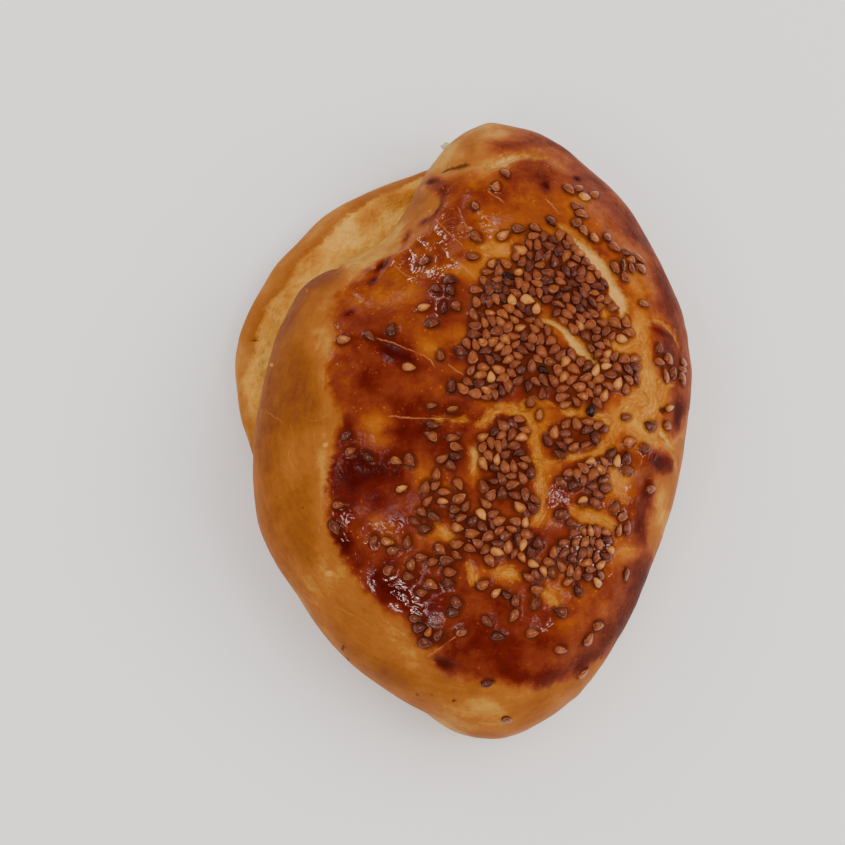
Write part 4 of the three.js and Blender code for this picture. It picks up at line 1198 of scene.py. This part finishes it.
def crustMaterial():
    look = crustLook
    material, shader = startMaterial("baked_dough")
    place = piecePlace()
    wash, bake, crumb, shine = field("wash"), field("bake"), field("crumb"), field("shine")
    wide, blot = speckle(place, 7.0), speckle(place, 2.8, 3.0, 0.5)
    fine, tiny = speckle(place, 1.2, 3.0, 0.3), speckle(place, 0.45, 3.0)
    grains = droplets(place, 1.0) * speckle(place, 2.0).clear(-0.1, 0.6)
    lengthwise = aroundPlace(0.14, 0.8)
    streaks = speckle(lengthwise, 1.0, 4.0, 0.6)

    bareTone = field("bareTone") + wide * 0.24 + blot * 0.22 + streaks * 0.2 + fine * 0.12 + tiny * 0.12
    bare = rampOf(bareTone, -1.0, 1.0, look["bare"])
    hairs = wanderingLines(speckle(lengthwise, 1.6, 2.0, 1.2), 0.06) * wide.clear(-0.2, 0.6) * 0.25
    veins = thinLine("vein", fine * 0.26 + tiny * 0.14, 0.24) * (fine + blot).clear(-1.2, 1.2) * 0.5
    fringe = wash.clear(-3.4, -0.6) * (fine * 0.6 + tiny * 0.6).clear(-0.1, 1.0) * 0.55
    bare = blend((veins + hairs + fringe).clear(0.0, 1.1), bare, tone(*look["vein"]))
    bare = blend((field("fleck") + fine * 0.15).clear(0.3, 0.6) * 0.8, bare, tone(*look["fleck"]))

    washTone = bake + wide * 0.14 + blot * 0.26 + fine * 0.16 + tiny * 0.1 - grains * 0.8
    dry, glossed = (rampOf(washTone, -1.0, 1.5, look[name]) for name in ("dryWash", "glossyWash"))
    washed = blend(shine, dry, glossed)
    washMask = (wash + blot * 0.2 + fine * 0.45 + tiny * 0.25 - grains * 0.6).clear(-1.5, 0.3)
    colour = blend(washMask, bare, washed)

    crackPlace = {"X": field("crackRun") * 0.4, "Y": field("crackSide") * 1.2}
    fibres = speckle(Wire.make("CombineXYZ", None, crackPlace), 1.0, 2.0, 1.4)
    strings = wanderingLines(speckle(place, 1.6, 1.0, 1.6), 0.22)
    amber = field("amber")
    strands = fibres * 0.6 + blot * 0.3 + fine * 0.25 + tiny * 0.1 + strings * 0.35 - 0.1 - amber * 0.16
    amberMask = 1 - (amber + blot * 0.3 + fine * 0.45 - fibres * 0.35 + tiny * 0.25).clear(-0.75, 0.6)
    colour = blend(amberMask * 0.92, colour, rampOf(strands, -1.0, 1.5, look["amber"]))
    creamMask = 1 - (field("cream") + fine * 0.12 + tiny * 0.15).clear(-0.6, 0.3)
    colour = blend(creamMask, colour, rampOf(strands, -1.2, 0.8, look["cream"]))
    lineMask = thinLine("line", fine * 0.2 + tiny * 0.1, 0.26) * (fine + blot).clear(-1.4, 1.0)
    colour = blend(lineMask * 0.6, colour, tone(*look["line"]))

    rimTone = rampOf(field("rimTone") + blot * 0.35 + fine * 0.2 + streaks * 0.2, -1.0, 1.0, look["lipRim"])
    crumbTone = field("crumbTone") + blot * 0.5 + fine * 0.3 + tiny * 0.2 + streaks * 0.2
    crumbMask = (crumb + blot * 0.2 + fine * 0.3 + tiny * 0.25).clear(0.1, 0.9)
    lip = blend(crumbMask, rimTone, rampOf(crumbTone, -1.0, 1.0, look["crumb"]))
    colour = blend(field("lipTop"), colour, lip)
    scorched = (field("scorch") + fine * 0.3 + blot * 0.25).clear(0.25, 0.85)
    colour = blend(scorched * 0.85, colour, tone(*look["scorch"]))
    # painted shade round each seed and between crowded seeds, together with the wash pooled darker against
    # them
    beside = 1 - (field("seedGap") + tiny * 0.06).clear(0.0, 1.0)
    crowded = field("crowd").clear(1.1, 2.2)
    shade = ((beside * 0.75 + crowded * 0.3) * (1 - creamMask * 0.7)).clear(0.0, 1.1)
    colour = blend(shade * washMask * (1 - amberMask * 0.3) * 0.85, colour, tone(*look["shade"]))

    glaze = washMask * shine * (1 - creamMask * 0.8) * (1 - amberMask * 0.4)
    crinkle = field("crinkle")
    glaze = glaze * (crinkle.clear(0.05, 0.6) * (1 - look["smoothGloss"]) + look["smoothGloss"])
    drops = droplets(place, 1.5) * speckle(place, 4.0).clear(0.0, 0.7)
    ripples = speckle(aroundPlace(0.4, 1.0), 1.1, 0.5, 0.8)
    skin = ripples * 0.06 + speckle(place, 1.8, 0.0, 0.8) * 0.04 + drops * 0.03
    height = skin * crinkle + speckle(place, 2.6, 0.0) * 0.02
    height = height * glaze
    height = height + amberMask * strands * 0.1 + grains * 0.03
    height = height + (1 - glaze) * (speckle(place, 0.7, 3.0) * 0.014 + streaks * 0.025)
    height = height + crumb * (speckle(place, 1.3, 4.0) * 0.22)
    bump = bumpOf(height)
    feed(shader, {
        "Base Color": colour,
        "Roughness": crumb * 0.25 + fine * 0.05 + look["bareRoughness"],
        "Normal": bump,
        "Specular IOR Level": look["bareSpecular"],
    })
    smoothRough, crinkledRough = look["washRoughness"]["smooth"], look["washRoughness"]["crinkled"]
    roughness = crinkle.clear(0.1, 0.7) * (crinkledRough - smoothRough) + smoothRough + fine * 0.03
    glossy = Wire.make("BsdfPrincipled", None, {
        "Base Color": colour, "Roughness": roughness, "Normal": bump, "IOR": look["washRefraction"],
    })
    both = Wire.make("MixShader", None, {0: glaze, 1: Wire(shader.outputs[0]), 2: glossy})
    Wire.tree.links.new(both.socket, Wire.tree.nodes["Material Output"].inputs["Surface"])
    return material


seedLook = {
    "body": [(40, 18, 13), (84, 36, 24), (121, 56, 28), (154, 80, 34), (208, 136, 60)],
    # edge and the golden seeds' rim colour are painted highlights: light rims where a seed's raised edge
    # would catch the light
    "edge": (206, 136, 84),
    "goldenRimHighlight": (214, 170, 104),
    # root is the dark colour painted round each seed's edge and underside, a painted shadow where it meets
    # the crust
    "root": (74, 24, 12),
    "roughness": 0.22,
    "refraction": 1.5,
}


def seedMaterial(name, edge):
    material, shader = startMaterial(name)
    place = piecePlace()
    rim, tint = field("rim"), field("tint")
    fine = speckle(place, 0.5, 3.0)
    # the middle of each seed is painted lighter than its rim, a painted sheen on its crown
    crown = 0.45 - rim.clear(0.1, 0.95) * 0.8
    colour = rampOf(tint + crown + fine * 0.25 + speckle(place, 1.2) * 0.35, -2.0, 1.4, seedLook["body"])
    # a lighter ring just inside the rim, a painted highlight, broken up by noise on the darker seeds
    ring = rim.clear(0.6, 0.76) * (1 - rim.clear(0.8, 0.9))
    lit = (speckle(place, 1.8) * 0.8 + 0.2).clear(0.0, 1.0) * tint.clear(-1.6, -0.2)
    colour = blend(ring * lit * 0.5, colour, tone(*edge))
    # the outer edge and underside of each seed are painted dark: painted shade where the seed meets the crust
    colour = blend(rim.clear(0.82, 1.0) * 0.8, colour, tone(*seedLook["root"]))
    roughness = fine * 0.06 + seedLook["roughness"]
    feed(shader, {
        "Base Color": colour,
        "Roughness": roughness,
        "Normal": bumpOf(fine * 0.012),
        "IOR": seedLook["refraction"],
    })
    return material


# The small scrap of white cheese baked onto the tip
cheese = {
    "middle": (-3.2, 62.4, 15.6),
    "size": (2.4, 1.6, 1.6),
    "lumps": [(1.6, 0.45, 61), (0.7, 0.2, 62)],
    "rings": 8,
    "colours": [(220, 196, 146), (240, 222, 176)],
    "roughness": 0.6,
}


def makeCheese():
    material, shader = startMaterial("white_cheese")
    fine = speckle(piecePlace(), 0.6, 3.0)
    colour = rampOf(fine, -1.0, 1.0, cheese["colours"])
    feed(shader, {"Base Color": colour, "Roughness": cheese["roughness"], "Normal": bumpOf(fine * 0.05)})
    ring, degrees, faces = roundGrid(cheese["rings"])[:3]
    lean = ring / cheese["rings"] * math.pi   # the outermost ring closes up into one point
    x = np.sin(lean) * np.cos(np.radians(degrees))
    y = np.sin(lean) * np.sin(np.radians(degrees))
    points = np.stack([x, y, np.cos(lean)], 1)
    keep = {}
    index = [keep.setdefault(tuple(np.round(point, 5)), len(keep)) for point in points]
    joined = [list(dict.fromkeys(index[corner] for corner in face)) for face in faces]
    joined = [corners for corners in joined if len(corners) > 2]
    unit = points[np.unique(index, return_index=True)[1]]
    swollen = unit * (1 + layeredLumps(unit * 3, cheese["lumps"]))[:, None]
    points = swollen * np.array(cheese["size"]) / 2 + np.array(cheese["middle"])
    return makeObject("cheese_fleck", points, joined, {}, material)


# half is half of the floor's side in metres
ground = {"colour": (0.95, 0.93, 0.9, 1), "roughness": 0.6, "specular": 0.2, "half": 1.5}


def makeFloor():
    material, shader = startMaterial("pale_floor")
    feed(shader, {
        "Base Color": ground["colour"],
        "Roughness": ground["roughness"],
        "Specular IOR Level": ground["specular"],
    })
    mesh = bpy.data.meshes.new("floor")
    corners = [(x * ground["half"], y * ground["half"], 0) for x, y in ((-1, -1), (1, -1), (1, 1), (-1, 1))]
    mesh.from_pydata(corners, [], [(0, 1, 2, 3)])
    mesh.materials.append(material)
    floor = bpy.data.objects.new("floor", mesh)
    bpy.context.scene.collection.objects.link(floor)


# A wide key lamp and a soft sky light the bun. Small bright windows round it make the glaze sparkle,
# and larger dim ones give it a soft sheen.
lighting = {
    "sky": (0.95, 0.97, 0.99), "skyAbove": 0.9, "skyAround": 1.42,
    "key": {"place": (1150, 150, 1350), "size": (1700, 1400), "power": 17.0, "colour": (1.0, 0.985, 0.96)},
    "windowSize": (150, 120),
    "windowColour": (1.0, 0.84, 0.81),
    "windows": [  # place in millimetres and power in watts
        ((-940, 1060, 350), 1.2), ((-820, 810, 860), 1.0), ((60, 880, 1150), 0.6),
        ((-380, 1170, 760), 0.3), ((-550, -80, 1330), 0.4), ((-900, -120, 1110), 0.6),
        ((-650, -780, 1020), 1.6), ((-400, -620, 1250), 1.1), ((1300, -180, 600), 0.8),
        ((1020, -90, 1000), 0.8), ((740, -600, 1060), 0.8), ((580, -420, 1260), 0.4),
        ((800, -210, 1170), 0.6),
    ],
    "sheenSize": (300, 260),
    "sheens": [
        ((-580, -740, 1100), 0.5), ((820, -210, 1150), 0.3), ((-560, 60, 1330), 0.1), ((-640, 860, 920), 0.2),
    ],
}


def addLamp(name, place, size, power, colour):
    lamp = bpy.data.lights.new(name, "AREA")
    lamp.shape = "RECTANGLE"
    lamp.size, lamp.size_y = size[0] * mm, size[1] * mm
    lamp.energy, lamp.color = power, colour
    holder = bpy.data.objects.new(name, lamp)
    holder.location = Vector(place) * mm
    holder.rotation_euler = Vector(place).to_track_quat("Z", "Y").to_euler()
    bpy.context.scene.collection.objects.link(holder)
    return holder


def makeLights():
    world = bpy.data.worlds.new("soft_sky")
    world.use_nodes = True
    bpy.context.scene.world = world
    Wire.tree = world.node_tree
    sky = world.node_tree.nodes["Background"]
    sky.inputs["Color"].default_value = (*lighting["sky"], 1)
    direction = Wire.make("TexCoord", None, None, "Generated")
    height = Wire.make("SeparateXYZ", None, {"Vector": direction}, "Z")
    change = lighting["skyAbove"] - lighting["skyAround"]
    strength = height.clear(0.0, 1.0) * change + lighting["skyAround"]
    Wire.tree.links.new(strength.socket, sky.inputs["Strength"])
    world.cycles_visibility.glossy = False   # only the windows and the floor shine in the glaze
    key = lighting["key"]
    addLamp("key", key["place"], key["size"], key["power"], key["colour"]).visible_glossy = False
    for kind in ("window", "sheen"):
        for i, (place, power) in enumerate(lighting[kind + "s"]):
            addLamp(f"{kind}{i + 1}", place, lighting[kind + "Size"], power, lighting["windowColour"])


view = {"place": (-25.55, -108.33, 454.78), "back": (-0.0378, -0.2389, 0.9703), "lens": 90.4}


def makeCamera():
    camera = bpy.data.cameras.new("camera")
    camera.lens = view["lens"]
    camera.clip_start, camera.clip_end = 0.01, 20
    holder = bpy.data.objects.new("camera", camera)
    back = Vector(view["back"]).normalized()
    right = Vector((0, 1, 0)).cross(back).normalized()
    up = back.cross(right)
    turn = Matrix((right, up, back)).transposed().to_4x4()
    holder.matrix_world = Matrix.Translation(Vector(view["place"]) * mm) @ turn
    bpy.context.scene.collection.objects.link(holder)
    bpy.context.scene.camera = holder


print("crust")
smooth, allFaces, topFaces, fields = makeBunGrid()
outward = normalsOf(smooth, topFaces)
made = crustFields(smooth, fields)
relieved = smooth + outward * crustRelief(smooth, made, fields)[:, None]
made["shine"] *= ramp(normalsOf(relieved, topFaces)[:, 2], *crustMarks["glossLevel"])

print("seeds")
seeds = placeSeeds()
seatSeeds(seeds, relieved, topFaces)
gap, crowd = seedGaps(relieved, seeds)
meniscus = relief["meniscus"]
swell = meniscus["rise"] * np.exp(-np.maximum(gap, 0) / meniscus["reach"])
crustPoints = relieved + outward * swell[:, None]
print("seeds placed:", len(seeds["x"]))

attributes = {**made, "seedGap": gap, "crowd": crowd}
bun = makeObject("bun_crust", crustPoints, allFaces, attributes, crustMaterial())
golden = seeds["tint"] == sesame["tints"]["golden"]
brownSeeds = makeSeeds("sesame_seeds", seeds, np.flatnonzero(~golden),
                       seedMaterial("toasted_sesame", seedLook["edge"]))
goldenSeeds = makeSeeds("golden_sesame_seeds", seeds, np.flatnonzero(golden),
                        seedMaterial("golden_sesame", seedLook["goldenRimHighlight"]))
fleck = makeCheese()

print("floor, lights and camera")
makeFloor()
makeLights()
makeCamera()

slots = (
    (bun, "baked_dough"), (brownSeeds, "toasted_sesame"),
    (goldenSeeds, "golden_sesame"), (fleck, "white_cheese"),
)
for piece, slot in slots:
    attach(piece, "root")
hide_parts("folded_bun")

bpy.context.view_layer.update()
